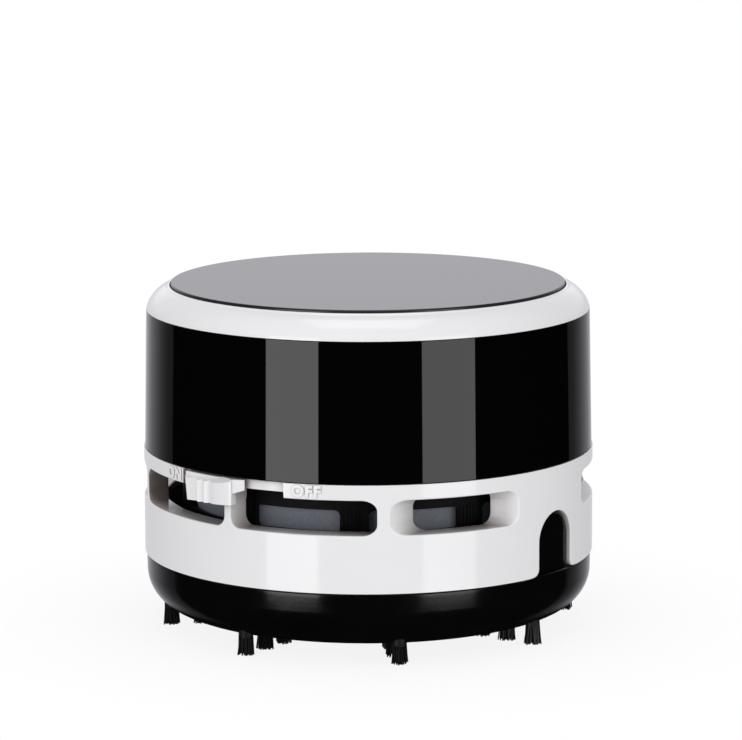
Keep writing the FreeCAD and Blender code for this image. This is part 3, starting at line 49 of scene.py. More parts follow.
# ---------------------------------------------------------------- dust base
# Moulded satin black base: double wall, dust trough and a chimney over the suction
# mouth. One injection moulding, with a pocket and two ears for the release tongue.

MM = 0.001
ROUND_STEPS = 256
SMOOTH_ANGLE = math.radians(32)
MERGE = 0.002 * MM
FINE_ROUND = 0.15 * MM
WIDE_ROUND = 0.5 * MM
base_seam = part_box("vent_ring")[0].z
base_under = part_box("base_tray")[0].z
spigot_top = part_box("base_tray")[1].z
base_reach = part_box("base_tray")[1].y
base_skin = 1.8 * MM
base_round = 7.2 * MM
base_draft = 0.15 * MM
base_band = 0.9 * MM
base_lip = 0.35 * MM
base_lip_round = 0.1 * MM
trough_floor = base_under + 4.0 * MM
trough_rise = 2.2 * MM
trough_run = 3.08 * MM
trough_round = 2.0 * MM
trough_rim_round = 1.2 * MM
hollow_floor = trough_floor + 0.9 * MM
spigot_reach = 37.95 * MM
spigot_wall = 1.8 * MM
mouth_reach = 9.0 * MM
mouth_flare = 2.0 * MM
mouth_flare_rise = 1.5 * MM
chimney_wall = 1.3 * MM
chimney_top = trough_floor + 6.3 * MM
chimney_round = 0.8 * MM
arch_bearing = 54.7


def bearing(angle):
    """Unit vector at an angle in degrees from the front."""
    turn = math.radians(angle)
    return Vector((math.sin(turn), -math.cos(turn), 0))


def fresh():
    """Leave edit mode and let go of everything, so that operators act on new work only."""
    if bpy.context.mode != "OBJECT":
        bpy.ops.object.mode_set(mode="OBJECT")
    bpy.ops.object.select_all(action="DESELECT")


def take(piece):
    """Make one piece the only one selected, and the active one."""
    fresh()
    piece.select_set(True)
    bpy.context.view_layer.objects.active = piece


def settle(piece, name):
    """Name a piece and put its place into its mesh."""
    take(piece)
    bpy.ops.object.transform_apply(location=True, rotation=True, scale=True)
    piece.name = name
    piece.data.name = name
    return piece


def open_whole(piece):
    """Open a piece in edit mode with all of it selected."""
    take(piece)
    bpy.ops.object.mode_set(mode="EDIT")
    bpy.ops.mesh.select_all(action="SELECT")


def open_picked(piece, kind, wanted):
    """Open a piece in edit mode with only the wanted vertices, edges or faces selected."""
    take(piece)
    bpy.ops.object.mode_set(mode="EDIT")
    bpy.ops.mesh.select_mode(type=kind)
    bpy.ops.mesh.select_all(action="DESELECT")
    bpy.ops.object.mode_set(mode="OBJECT")
    mesh = piece.data
    for part in {"VERT": mesh.vertices, "EDGE": mesh.edges, "FACE": mesh.polygons}[kind]:
        part.select = wanted(part)
    bpy.ops.object.mode_set(mode="EDIT")


def section(corners):
    """A closed ring of edges whose corners are set one by one: reach and height first."""
    fresh()
    bpy.ops.mesh.primitive_circle_add(vertices=len(corners), radius=MM, fill_type="NOTHING")
    outline = bpy.context.object
    for vertex, corner in zip(outline.data.vertices, corners):
        vertex.co = (corner[0], 0, corner[1])
    return outline


def round_corners(outline, corners, segments):
    """Round corners of a section, from the last: each is its reach, height and round."""
    for reach, height, width in reversed(corners):
        place = Vector((reach, 0, height))
        nearest = min(outline.data.vertices, key=lambda vertex: (vertex.co - place).length).index
        open_picked(outline, "VERT", lambda vertex: vertex.index == nearest)
        bpy.ops.mesh.bevel(offset=width, segments=segments, affect="VERTICES")
        bpy.ops.object.mode_set(mode="OBJECT")


def lathe(name, corners):
    """Turn a section about the Z axis. A corner is its reach and height, and its round
    where that isn't the fine one. Corners on the axis stay sharp."""
    outline = section(corners)
    rounded = [(corner + (FINE_ROUND,))[:3] for corner in corners if corner[0] > 0]
    round_corners(outline, [corner for corner in rounded if corner[2] > WIDE_ROUND], segments=14)
    round_corners(outline, [corner for corner in rounded if corner[2] <= WIDE_ROUND], segments=3)
    open_whole(outline)
    bpy.ops.mesh.spin(steps=ROUND_STEPS, angle=math.tau, center=(0, 0, 0), axis=(0, 0, 1))
    bpy.ops.mesh.select_all(action="SELECT")
    bpy.ops.mesh.remove_doubles(threshold=MERGE)
    bpy.ops.mesh.normals_make_consistent(inside=False)
    bpy.ops.object.mode_set(mode="OBJECT")
    bpy.ops.object.shade_smooth_by_angle(angle=SMOOTH_ANGLE)
    return settle(outline, name)


def cube(name, low, high):
    """A block between two corners."""
    fresh()
    centre = (Vector(low) + Vector(high)) / 2
    bpy.ops.mesh.primitive_cube_add(size=1, location=centre)
    block = bpy.context.object
    block.scale = Vector(high) - Vector(low)
    return settle(block, name)


def rod(name, reach, foot, top, place=(0, 0), steps=32):
    """An upright cylinder."""
    fresh()
    middle = (place[0], place[1], (foot + top) / 2)
    bpy.ops.mesh.primitive_cylinder_add(vertices=steps, radius=reach, depth=top - foot,
                                        location=middle)
    return settle(bpy.context.object, name)


def combine(piece, tool, operation="DIFFERENCE"):
    """Cut a tool out of a piece, or add it, and throw the tool away."""
    take(piece)
    change = piece.modifiers.new("combine", "BOOLEAN")
    change.operation = operation
    change.solver = "EXACT"
    change.object = tool
    bpy.ops.object.modifier_apply(modifier=change.name)
    bpy.data.objects.remove(tool)


def joined(name, parts):
    """Several pieces as one object."""
    take(parts[0])
    for part in parts[1:]:
        part.select_set(True)
    bpy.ops.object.join()
    return settle(bpy.context.object, name)


def turned_by(piece, angle):
    """Turn a piece drawn at the front round to a bearing."""
    piece.rotation_euler.z = math.radians(angle)
    return settle(piece, piece.name)


def workings(material):
    """A material's nodes, its links and its shader."""
    tree = material.node_tree
    return tree.nodes, tree.links, tree.nodes["Principled BSDF"]


def wire(links, *wires):
    """Join nodes: each wire is a node, its output, the next node and its input."""
    for source, output, target, socket in wires:
        links.new(source.outputs[output], target.inputs[socket])


def colour_ramp(nodes, stops):
    """A colour ramp: each stop is a place and a colour, in rising order."""
    ramp = nodes.new("ShaderNodeValToRGB")
    elements = ramp.color_ramp.elements
    for index, (place, colour) in enumerate(stops):
        element = elements[index] if index < 2 else elements.new(place)
        element.position = place
        element.color = list(colour) + [1]
    return ramp


def map_range(nodes, low, high, to_low=0.0, to_high=1.0, interpolation="LINEAR"):
    """A node that maps a value from one range to another."""
    mapped = nodes.new("ShaderNodeMapRange")
    mapped.interpolation_type = interpolation
    ends = {"From Min": low, "From Max": high, "To Min": to_low, "To Max": to_high}
    for socket, value in ends.items():
        mapped.inputs[socket].default_value = value
    return mapped


def bump(nodes, strength, distance):
    """A node that turns a height into relief."""
    relief = nodes.new("ShaderNodeBump")
    relief.inputs["Strength"].default_value = strength
    relief.inputs["Distance"].default_value = distance
    return relief


def coating(name, colour, shade=0.04, roughness=0.4, spread=0.06, patch=60.0, grain=900.0,
            depth=0.02, metallic=0.0, specular=0.5):
    """A moulded or drawn surface: slow colour drift, uneven polish and a fine grain."""
    material = bpy.data.materials.new(name)
    material.use_nodes = True
    nodes, links, shader = workings(material)
    shader.inputs["Metallic"].default_value = metallic
    shader.inputs["Specular IOR Level"].default_value = specular
    where = nodes.new("ShaderNodeTexCoord")

    def clouds(scale, detail):
        cloud = nodes.new("ShaderNodeTexNoise")
        cloud.inputs["Scale"].default_value = scale
        cloud.inputs["Detail"].default_value = detail
        wire(links, (where, "Object", cloud, "Vector"))
        return cloud

    low, high = 0.3, 0.7
    drift = colour_ramp(nodes, ((low, [c * (1 - shade) for c in colour]),
                                (high, [min(1, c * (1 + shade)) for c in colour])))
    polish = map_range(nodes, low, high, max(0.0, roughness - spread / 2), roughness + spread / 2)
    relief = bump(nodes, strength=depth, distance=0.1 * MM)
    wire(links,
         (clouds(patch, 4), "Fac", drift, "Fac"),
         (drift, "Color", shader, "Base Color"),
         (clouds(patch * 3, 6), "Fac", polish, "Value"),
         (polish, "Result", shader, "Roughness"),
         (clouds(grain, 3), "Fac", relief, "Height"),
         (relief, "Normal", shader, "Normal"))
    return material


def wear(piece, material):
    """Give a finished piece its material, and keep its broad faces flat in their shading."""
    piece.data.materials.clear()
    piece.data.materials.append(material)
    take(piece)
    even = piece.modifiers.new("even", "WEIGHTED_NORMAL")
    even.keep_sharp = True
    even.weight = 90
    bpy.ops.object.modifier_apply(modifier=even.name)


def fit(piece, body, node, material):
    """Dress a finished piece and let it stand for its CAD node."""
    wear(piece, material)
    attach(piece, body)
    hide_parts(node)


inner_wall = base_reach - base_skin
trough_wall = spigot_reach - spigot_wall
chimney_reach = mouth_reach + chimney_wall
dust_base = lathe("dust_base", (
    (mouth_reach + mouth_flare, base_under),
    (base_reach - base_draft, base_under, base_round),
    (base_reach, base_seam - base_band),
    (base_reach, base_seam - base_lip, base_lip_round),
    (base_reach - base_lip, base_seam, base_lip_round),
    (inner_wall, base_seam),
    (inner_wall, hollow_floor),
    (spigot_reach, hollow_floor),
    (spigot_reach, spigot_top),
    (trough_wall, spigot_top),
    (trough_wall, trough_floor + trough_rise, trough_rim_round),
    (trough_wall - trough_run, trough_floor, trough_round),
    (chimney_reach, trough_floor, chimney_round),
    (chimney_reach, chimney_top),
    (mouth_reach, chimney_top),
    (mouth_reach, base_under + mouth_flare_rise),
))

latch_half = 7.05 * MM
ear_wall = 1.3 * MM
ear_root = 0.1 * MM
ear_back = trough_wall + 0.45 * MM
ear_top = base_seam - 0.3 * MM
pivot_reach = base_reach - 4.15 * MM
pivot_height = base_seam - 1.8 * MM
pivot_room = 1.45 * MM
pivot_bore = 0.64 * MM
pocket_top = base_seam + 5.0 * MM
for side in (-1, 1):
    near, far = sorted((side * latch_half, side * (latch_half + ear_wall)))
    ear = cube("ear", (near, -inner_wall - ear_root / 2, hollow_floor - ear_root),
               (far, -ear_back, ear_top))
    combine(dust_base, turned_by(ear, arch_bearing), "UNION")
pocket = cube("pocket", (-latch_half, -inner_wall, pivot_height - pivot_room),
              (latch_half, -pivot_reach + pivot_room, pocket_top))
combine(dust_base, turned_by(pocket, arch_bearing))
bore_half = latch_half + ear_wall + ear_root
bore = rod("bore", pivot_bore, -bore_half, bore_half)
bore.rotation_euler.y = math.radians(90)
bore.location = (0, -pivot_reach, pivot_height)
settle(bore, "bore")
combine(dust_base, turned_by(bore, arch_bearing))

tuft_rows = 8
tuft_steps = 3
tuft_first = 8.4
tuft_outermost = 38.0 * MM
tuft_pitch = 5.7 * MM
tuft_bore = 1.4 * MM
tuft_bore_foot = base_under - 1.0 * MM
tuft_bore_top = base_under + 3.0 * MM


def tuft_spot(row, step):
    """Where a tuft stands: its row is a bearing, and its step leads inwards."""
    return bearing(tuft_first + row * 360 / tuft_rows) * (tuft_outermost - step * tuft_pitch)


tuft_holes = []
for row in range(tuft_rows):
    for step in range(tuft_steps):
        spot = tuft_spot(row, step)
        tuft_holes.append(rod("tuft_hole", tuft_bore, tuft_bore_foot, tuft_bore_top, (spot.x, spot.y)))
combine(dust_base, joined("tuft_holes", tuft_holes))
bpy.ops.object.shade_smooth_by_angle(angle=SMOOTH_ANGLE)
satin_black = coating("satin_black", (0.0016, 0.0016, 0.0018), shade=0.2, roughness=0.14,
                      grain=1500, depth=0.05)
fit(dust_base, "base", "base_tray", satin_black)

# ---------------------------------------------------------------- bristle tufts
# Nylon bundles, three to a row in eight rows, pressed into holes in the base. Each tuft
# is cut level, but its filaments lean and wear a little apart.

tuft_spread = 1.3 * MM
tuft_root = base_under + 1.0 * MM
root_foot = tuft_root - 0.9 * MM
root_top = tuft_root + 2.4 * MM
filament_reach = 0.13 * MM
filaments = 64
bend_place = 0.55
bend_share = 0.4
spiral_turn = 2.39996
splay = 0.16
stray = 0.13
deepest_wear = 0.55 * MM
desk_gap = 0.02 * MM
chance = random.Random(7)


def filament(place, lean, length):
    """One thin nylon filament that leans, and bends a little more towards its tip."""
    fresh()
    bpy.ops.mesh.primitive_cylinder_add(vertices=5, radius=filament_reach, depth=length,
                                        location=(0, 0, tuft_root - length / 2))
    strand = bpy.context.object
    open_whole(strand)
    bpy.ops.mesh.bisect(plane_co=(0, 0, tuft_root - length * bend_place), plane_no=(0, 0, 1))
    settle(strand, "filament")
    for vertex in strand.data.vertices:
        down = (tuft_root - vertex.co.z) / length
        sway = down * (1 - bend_share) + down * down * bend_share
        vertex.co.x += place.x + lean.x * sway
        vertex.co.y += place.y + lean.y * sway
    return strand


def bristle_tuft(name, spot):
    """A bundle of filaments in a golden spiral on a solid root, at its hole in the base."""
    strands = []
    for index in range(filaments):
        out = tuft_spread * math.sqrt((index + 0.5) / filaments)
        turn = index * spiral_turn
        place = Vector((out * math.cos(turn), out * math.sin(turn), 0))
        lean = place * splay + Vector((chance.gauss(0, stray), chance.gauss(0, stray), 0)) * MM
        worn = chance.random() ** 3 * deepest_wear
        strands.append(filament(place, lean, tuft_root - worn - desk_gap))
    strands.append(rod("root", tuft_spread, root_foot, root_top, steps=20))
    bundle = joined(name, strands)
    bundle.rotation_euler.z = chance.random() * math.tau
    bundle.location = (spot.x, spot.y, 0)
    return settle(bundle, name)


tufts = []
for row in range(tuft_rows):
    for step in range(tuft_steps):
        tufts.append(bristle_tuft("tuft_%d_%d" % (row + 1, step + 1), tuft_spot(row, step)))
bristles = joined("bristles", tufts)
bristle_nylon = coating("bristle_nylon", (0.006, 0.006, 0.007), shade=0.35, roughness=0.38,
                        patch=900, grain=4000, depth=0.1)
fit(bristles, "base", "bristle_tufts", bristle_nylon)

# ---------------------------------------------------------------- release tongue and its pin
# Black moulded tongue in the arch, on a steel pin between two ears of the base. Its
# edges are softened as they leave the mould.

refined_crease = math.radians(30)
flat_within = math.radians(0.4)


def soften(piece, width, segments, crease, clamp=True):
    """Round each edge that turns by more than the crease angle."""
    take(piece)
    rounding = piece.modifiers.new("soften", "BEVEL")
    rounding.width = width
    rounding.segments = segments
    rounding.limit_method = "ANGLE"
    rounding.angle_limit = crease
    rounding.use_clamp_overlap = clamp
    bpy.ops.object.modifier_apply(modifier=rounding.name)


def refined(node, name, edge=0.0):
    """The CAD piece with its triangles merged into clean faces and its edges rounded."""
    piece = bpy.data.objects.new(name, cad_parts[node].data.copy())
    bpy.context.scene.collection.objects.link(piece)
    open_whole(piece)
    bpy.ops.mesh.remove_doubles(threshold=MERGE)
    bpy.ops.mesh.dissolve_limited(angle_limit=flat_within)
    bpy.ops.object.mode_set(mode="OBJECT")
    if edge:
        soften(piece, edge, segments=2, crease=refined_crease)
    bpy.ops.object.shade_smooth_by_angle(angle=refined_crease)
    piece.name = name
    piece.data.name = name
    return piece


tongue = refined("release_tongue", "release_tongue_moulding", edge=0.18 * MM)
fit(tongue, "latch", "release_tongue", satin_black)
zinc_steel = coating("zinc_steel", (0.55, 0.56, 0.58), shade=0.08, roughness=0.28, spread=0.12,
                     patch=300, grain=2500, depth=0.08, metallic=1.0)
pin = refined("latch_pin", "tongue_pin", edge=0.08 * MM)
fit(pin, "base", "latch_pin", zinc_steel)

# ---------------------------------------------------------------- inlet filter
# Round black frame clipped under the fan's plate, with a woven mesh in its rebate that
# keeps the crumbs in the trough.

matt_black = coating("matt_black", (0.003, 0.003, 0.0033), shade=0.25, roughness=0.55, spread=0.1,
                     grain=2200, depth=0.35, specular=0.16)
filter_ring = refined("filter_frame", "filter_holder", edge=0.12 * MM)
fit(filter_ring, "housing", "filter_frame", matt_black)
thread_pitch = 0.5 * MM
# Painted shade: how dark the gaps between the threads are drawn.
painted_gap_shade = 0.25


def woven(name, colour, pitch):
    """Gauze: two crossing sets of threads, raised over and under, with painted shade in their gaps."""
    material = coating(name, colour, shade=0.15, roughness=0.6, grain=3000, depth=0.2)
    nodes, links, shader = workings(material)
    where = nodes.new("ShaderNodeTexCoord")
    crossing = nodes.new("ShaderNodeMath")
    crossing.operation = "MAXIMUM"
    wave_repeat = math.pi / 10
    for socket, direction in enumerate(("X", "Y")):
        threads = nodes.new("ShaderNodeTexWave")
        threads.bands_direction = direction
        threads.inputs["Scale"].default_value = wave_repeat / pitch
        wire(links, (where, "Object", threads, "Vector"), (threads, "Fac", crossing, socket))
    relief = bump(nodes, strength=0.8, distance=0.2 * MM)
    tone = colour_ramp(nodes, ((0, [c * painted_gap_shade for c in colour]), (1, colour)))
    wire(links,
         (crossing, "Value", relief, "Height"),
         (relief, "Normal", shader, "Normal"),
         (crossing, "Value", tone, "Fac"),
         (tone, "Color", shader, "Base Color"))
    return material


mesh_gauze = woven("mesh_gauze", (0.3, 0.31, 0.33), thread_pitch)
filter_gauze = refined("filter_mesh", "filter_gauze")
fit(filter_gauze, "housing", "filter_mesh", mesh_gauze)

# ---------------------------------------------------------------- fan and its inlet plate
# Radial fan moulded in off-white plastic, pressed on the motor's shaft, over a black
# plate with a lipped eye.

inlet = refined("inlet_plate", "fan_inlet_plate", edge=0.1 * MM)
fit(inlet, "housing", "inlet_plate", matt_black)
fan_plastic = coating("fan_plastic", (0.66, 0.66, 0.63), shade=0.03, roughness=0.42, grain=1200,
                      depth=0.1)
impeller = refined("fan", "impeller", edge=0.1 * MM)
fit(impeller, "rotor", "fan", fan_plastic)
axle = refined("motor_shaft", "fan_axle", edge=0.1 * MM)
fit(axle, "rotor", "motor_shaft", zinc_steel)

# ---------------------------------------------------------------- motor carrier and outlet filter
# Black tub that hangs the motor over the fan. The air leaves through ten windows, lined
# with a strip of grey felt; grip ribs stand on the posts between them, and a low kerb
# closes the foot of the windows.

window_count = 10
window_first = 13.8
window_foot = 23.7 * MM
window_top = 28.05 * MM
carrier_reach = 35.5 * MM
rib_count = 5
rib_pitch = 1.18
rib_shift = -1.13
rib_half = 0.17 * MM
rib_proud = 0.22 * MM
rib_root = 0.2 * MM
kerb_inner = carrier_reach - 0.8 * MM
kerb_outer = carrier_reach - 0.02 * MM
kerb_foot = window_foot - 0.3 * MM
kerb_top = window_foot + 0.4 * MM
carrier = refined("motor_carrier", "carrier_tub", edge=0.12 * MM)
ribs = []
for post in range(window_count):
    between = window_first + (post + 0.5) * 360 / window_count + rib_shift
    for place in range(rib_count):
        rib = cube("rib", (-rib_half, -carrier_reach - rib_proud, window_foot),
                   (rib_half, -carrier_reach + rib_root, window_top))
        ribs.append(turned_by(rib, between + (place - (rib_count - 1) / 2) * rib_pitch))
kerb = lathe("kerb", (
    (kerb_inner, kerb_foot),
    (kerb_outer, kerb_foot),
    (kerb_outer, kerb_top),
    (kerb_inner, kerb_top),
))
carrier = joined("carrier_tub", [carrier, kerb] + ribs)
fit(carrier, "housing", "motor_carrier", matt_black)

felt = coating("felt", (0.2, 0.215, 0.25), shade=0.1, roughness=0.85, patch=2500, grain=6000,
               depth=0.5, specular=0.2)
felt_strip = refined("outlet_filter", "outlet_felt")
fit(felt_strip, "housing", "outlet_filter", felt)
screws = refined("carrier_screws", "countersunk_screws", edge=0.06 * MM)
fit(screws, "housing", "carrier_screws", zinc_steel)

# ---------------------------------------------------------------- motor
# Small direct-current motor: drawn steel can with two flats, plastic end cap and two
# brass solder tags.

can_steel = coating("can_steel", (0.5, 0.5, 0.49), shade=0.1, roughness=0.32, spread=0.15,
                    patch=150, grain=1800, depth=0.12, metallic=1.0)
can = refined("motor_can", "motor_housing", edge=0.5 * MM)
fit(can, "housing", "motor_can", can_steel)
cap_plastic = coating("cap_plastic", (0.68, 0.67, 0.62), shade=0.04, roughness=0.45, grain=1500,
                      depth=0.12)
rear_cap = refined("motor_end_cap", "motor_rear_cap", edge=0.25 * MM)
fit(rear_cap, "housing", "motor_end_cap", cap_plastic)
plain_brass = coating("plain_brass", (0.72, 0.5, 0.22), shade=0.1, roughness=0.3, spread=0.14,
                      patch=400, grain=2500, depth=0.08, metallic=1.0)
tags = refined("motor_terminals", "solder_tags", edge=0.05 * MM)
fit(tags, "housing", "motor_terminals", plain_brass)

# ---------------------------------------------------------------- vent ring
# White moulded ring between base and shell. It is drawn flat here, as the wall unrolled,
# cut through for eight vents, the tongue's arch and the switch's channel, softened at
# its edges, and then bent round. The lettering by the switch is moulded with it.

ring_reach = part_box("vent_ring")[1].y
ring_foot = base_seam
ring_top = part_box("upper_shell")[0].z
girth = math.tau * ring_reach
ring_wall = 2.0 * MM
collar_depth = 4.3 * MM
ledge_depth = 6.3 * MM
ledge_foot = ring_top - 1.26 * MM
lip_outer = 2.8 * MM
lip_inner = 4.2 * MM
lip_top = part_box("vent_ring")[1].z
foot_round = 0.04 * MM
top_round = 0.12 * MM
vent_top = ring_top - 2.85 * MM
vent_foot = vent_top - 6.46 * MM
vent_corner = 2.0 * MM
first_vent = 14.5
vents_and_posts = ((35.2, 3.3), (38.0, 2.0), (37.7, 2.0), (46.3, 2.0))
sill_foot = vent_foot - 1.5 * MM
sill_slope = 1.3 * MM
arch_half = 5.3 * MM
arch_top = ring_foot + 11.6 * MM
arch_round = arch_half * 0.999
arch_flare = 1.5 * MM
arch_foot_half = arch_half + 3 * arch_flare
mould_slides = (-43, 77, 197)
cut_through = 5.4 * MM
clear = 1.0 * MM
hair = 0.01 * MM
edge_round = 0.3 * MM
edge_crease = math.radians(40)


def along(angle):
    """Place of a bearing on the unrolled wall: 0 at the arch, growing to the right."""
    return ring_reach * math.radians(angle - arch_bearing)


def slide_shift(angle, depth):
    """How far a vent's end wall, cut along its mould slide, has moved at a depth."""
    slide = min(mould_slides, key=lambda pull: abs((angle - pull + 180) % 360 - 180))
    lean = math.radians(slide - angle)
    return -ring_reach * math.atan2(depth * math.tan(lean), ring_reach - depth)


def leaning_block(start, end, foot, top):
    """A block through the wall between two bearings, whose ends lean along the slides."""
    tool = cube("leaning_block", (along(start), -clear, foot), (along(end), cut_through, top))
    middle = (along(start) + along(end)) / 2
    for vertex in tool.data.vertices:
        angle = start if vertex.co.x < middle else end
        vertex.co.x += slide_shift(angle, vertex.co.y)
    return tool


def vent_tool(start, end):
    """Cutter for one vent: a leaning block, rounded along the edges that run through."""
    tool = leaning_block(start, end, vent_foot, vent_top)

    def runs_through(edge):
        a, b = (tool.data.vertices[i].co for i in edge.vertices)
        return abs(a.y - b.y) > clear

    open_picked(tool, "EDGE", runs_through)
    bpy.ops.mesh.bevel(offset=vent_corner, segments=10, affect="EDGES")
    bpy.ops.object.mode_set(mode="OBJECT")
    return tool


def drawn_out(outline, way):
    """Fill a section and extrude it into a closed block."""
    open_whole(outline)
    bpy.ops.mesh.edge_face_add()
    bpy.ops.mesh.extrude_region_move(TRANSFORM_OT_translate={"value": way})
    bpy.ops.mesh.select_all(action="SELECT")
    bpy.ops.mesh.normals_make_consistent(inside=False)
    bpy.ops.object.mode_set(mode="OBJECT")


def arch_tool():
    """Cutter for the arch: a round top and a small flare on both sides at the foot."""
    outline = section((
        (-arch_foot_half, ring_foot - clear),
        (-arch_foot_half, ring_foot),
        (-arch_half, ring_foot),
        (-arch_half, arch_top),
        (arch_half, arch_top),
        (arch_half, ring_foot),
        (arch_foot_half, ring_foot),
        (arch_foot_half, ring_foot - clear),
    ))
    round_corners(outline, [(side * arch_half, ring_foot, arch_flare) for side in (-1, 1)], segments=6)
    round_corners(outline, [(side * arch_half, arch_top, arch_round) for side in (-1, 1)], segments=14)
    drawn_out(outline, (0, cut_through + clear, 0))
    outline.location.y = -clear
    return settle(outline, "arch_tool")


def cut_across(piece, places):
    """Divide the unrolled wall's faces at places along it."""
    open_whole(piece)
    for place in places:
        bpy.ops.mesh.select_all(action="SELECT")
        bpy.ops.mesh.bisect(plane_co=(place, 0, 0), plane_no=(1, 0, 0))
    bpy.ops.object.mode_set(mode="OBJECT")


# Start and end bearing of each vent, outwards from the arch on both sides.
vents = []
for side in (-1, 1):
    edge = first_vent
    for width, post in vents_and_posts:
        vents.append(sorted((arch_bearing + side * edge, arch_bearing + side * (edge + width))))
        edge += width + post

wall = section((
    (ring_wall, ring_foot),
    (0, ring_foot),
    (0, ring_top),
    (lip_outer, ring_top),
    (lip_outer, lip_top),
    (lip_inner, lip_top),
    (lip_inner, ring_top),
    (ledge_depth, ring_top),
    (ledge_depth, ledge_foot),
    (collar_depth, ledge_foot),
    (collar_depth, sill_foot),
    (ring_wall, sill_foot - sill_slope),
))
round_corners(wall, [(0, ring_foot, foot_round), (0, ring_top, top_round)], segments=3)
for vertex in wall.data.vertices:
    vertex.co = (-girth / 2, vertex.co.x, vertex.co.z)
drawn_out(wall, (girth, 0, 0))
settle(wall, "vent_ring_moulding")

# Divided across the middle of each vent to come, so that no face is left with a hole in it.
cut_across(wall, [along((start + end) / 2) for start, end in vents])
for start, end in vents:
    combine(wall, vent_tool(start, end))
combine(wall, arch_tool())

# The two ends, which meet once the wall is bent, stay open and keep their place.
open_picked(wall, "FACE", lambda face: abs(abs(face.center.x) - girth / 2) < hair)
bpy.ops.mesh.delete(type="FACE")
soften(wall, edge_round, segments=3, crease=edge_crease, clamp=False)
for vertex in wall.data.vertices:
    vertex.co.x = max(-girth / 2, min(girth / 2, vertex.co.x))

channel_start = -53.1
channel_end = -21.2
channel_depth = 1.0 * MM
bar_foot = ring_top - 1.86 * MM
raised_foot = vent_top - vent_corner
raised_top = bar_foot + hair
slot_start = -57.3
slot_end = -33.1
slot_foot = bar_foot - 0.85 * MM
slot_top = lip_top + clear
lip_slot_depth = lip_outer - 0.1 * MM
combine(wall, cube("channel", (along(channel_start), -clear, bar_foot),
                   (along(channel_end), channel_depth, ring_top + clear)))

# The channel opens into the vents on both sides of the post under the switch.
post_start = vents[2][1]
post_end = vents[1][0]
combine(wall, leaning_block(channel_start, post_start, raised_foot, raised_top))
combine(wall, leaning_block(post_end, channel_end, raised_foot, raised_top))
combine(wall, cube("slider_slot", (along(slot_start), collar_depth - 2 * hair, slot_foot),
                   (along(slot_end), ledge_depth + clear, slot_top)))
combine(wall, cube("lip_slot", (along(slot_start), lip_slot_depth, ring_top - 2 * hair),
                   (along(slot_end), collar_depth + clear, slot_top)))

letter_size = 2.05 * MM * 1.42
letter_swell = 0.13 * MM
letter_edge = 0.04 * MM
letter_proud = 0.14 * MM
letter_spacing = 1.14
on_bearing = -56.9
off_bearing = -15.35


def lettering(words, angle):
    """Raised letters on the unrolled wall, centred at a bearing above the vents."""
    fresh()
    bpy.ops.object.text_add()
    text = bpy.context.object
    text.data.body = words
    text.data.align_x = "CENTER"
    text.data.align_y = "CENTER"
    text.data.size = letter_size
    text.data.extrude = letter_proud
    text.data.offset = letter_swell
    text.data.space_character = letter_spacing
    text.data.bevel_depth = letter_edge
    text.data.bevel_resolution = 1
    text.data.resolution_u = 4
    text.rotation_euler.x = math.radians(90)
    text.location = (along(angle), 0, (ring_top + vent_top) / 2)
    take(text)
    bpy.ops.object.convert(target="MESH")
    return settle(bpy.context.object, "lettering")


wall = joined("vent_ring_moulding", [wall, lettering("OFF", off_bearing), lettering("ON", on_bearing)])
bend_steps = 200
cut_across(wall, [girth * (step / bend_steps - 0.5) for step in range(1, bend_steps)])
bend = wall.modifiers.new("bend", "SIMPLE_DEFORM")
bend.deform_method = "BEND"
bend.deform_axis = "Z"
bend.angle = math.tau
bpy.ops.object.modifier_apply(modifier=bend.name)
wall.location.y = -ring_reach
settle(wall, "vent_ring_moulding")
turned_by(wall, arch_bearing)
open_whole(wall)
bpy.ops.mesh.remove_doubles(threshold=2 * MERGE)
bpy.ops.object.mode_set(mode="OBJECT")
bpy.ops.object.shade_smooth_by_angle(angle=SMOOTH_ANGLE)

# Painted shade in hollows: how far the occlusion looks, and the warm dark colour it paints.
hollow_reach = 10.0 * MM
painted_hollow_shade = (0.3, 0.24, 0.22)
deep_hollow = 0.3
open_surface = 0.85


def paint_hollow_shade(material):
    """Paint shade into a pale moulding, darker and warmer where it sees little of its surroundings."""
    nodes, links, shader = workings(material)
    plain = shader.inputs["Base Color"].links[0].from_socket
    hollow = nodes.new("ShaderNodeAmbientOcclusion")
    hollow.samples = 12
    hollow.inputs["Distance"].default_value = hollow_reach
    tone = colour_ramp(nodes, ((deep_hollow, painted_hollow_shade), (open_surface, (1, 1, 1))))
    painted_shade = nodes.new("ShaderNodeMix")
    painted_shade.data_type = "RGBA"
    painted_shade.blend_type = "MULTIPLY"
    painted_shade.inputs["Factor"].default_value = 1
    links.new(plain, painted_shade.inputs["A"])
    wire(links,
         (hollow, "AO", tone, "Fac"),
         (tone, "Color", painted_shade, "B"),
         (painted_shade, "Result", shader, "Base Color"))


white_plastic = coating("white_plastic", (0.8, 0.8, 0.805), shade=0.012, roughness=0.09,
                        spread=0.03, grain=700, depth=0.02)
# The white plastic gets painted shade in its vents, seams and nooks.
paint_hollow_shade(white_plastic)
fit(wall, "housing", "vent_ring", white_plastic)

# ---------------------------------------------------------------- switch
# White sliding knob with stepped grip ribs; its arm runs through the vent to a black
# upright, whose brass leaf bridges two fixed strips.

knob = refined("switch_knob", "slide_knob", edge=0.14 * MM)
fit(knob, "switch", "switch_knob", white_plastic)
slider = refined("switch_slider", "slide_upright", edge=0.1 * MM)
fit(slider, "switch", "switch_slider", satin_black)
leaf = refined("switch_wiper", "wiper_leaf", edge=0.04 * MM)
fit(leaf, "switch", "switch_wiper", plain_brass)
strips = refined("switch_contacts", "contact_strips", edge=0.04 * MM)
fit(strips, "housing", "switch_contacts", plain_brass)

# ---------------------------------------------------------------- battery tray, cells and contacts
# Black tray screwed over the motor, two round cells with printed jackets, and sprung
# contacts of nickel-plated sheet.

tray = refined("battery_tray", "cell_tray", edge=0.15 * MM)
fit(tray, "housing", "battery_tray", matt_black)

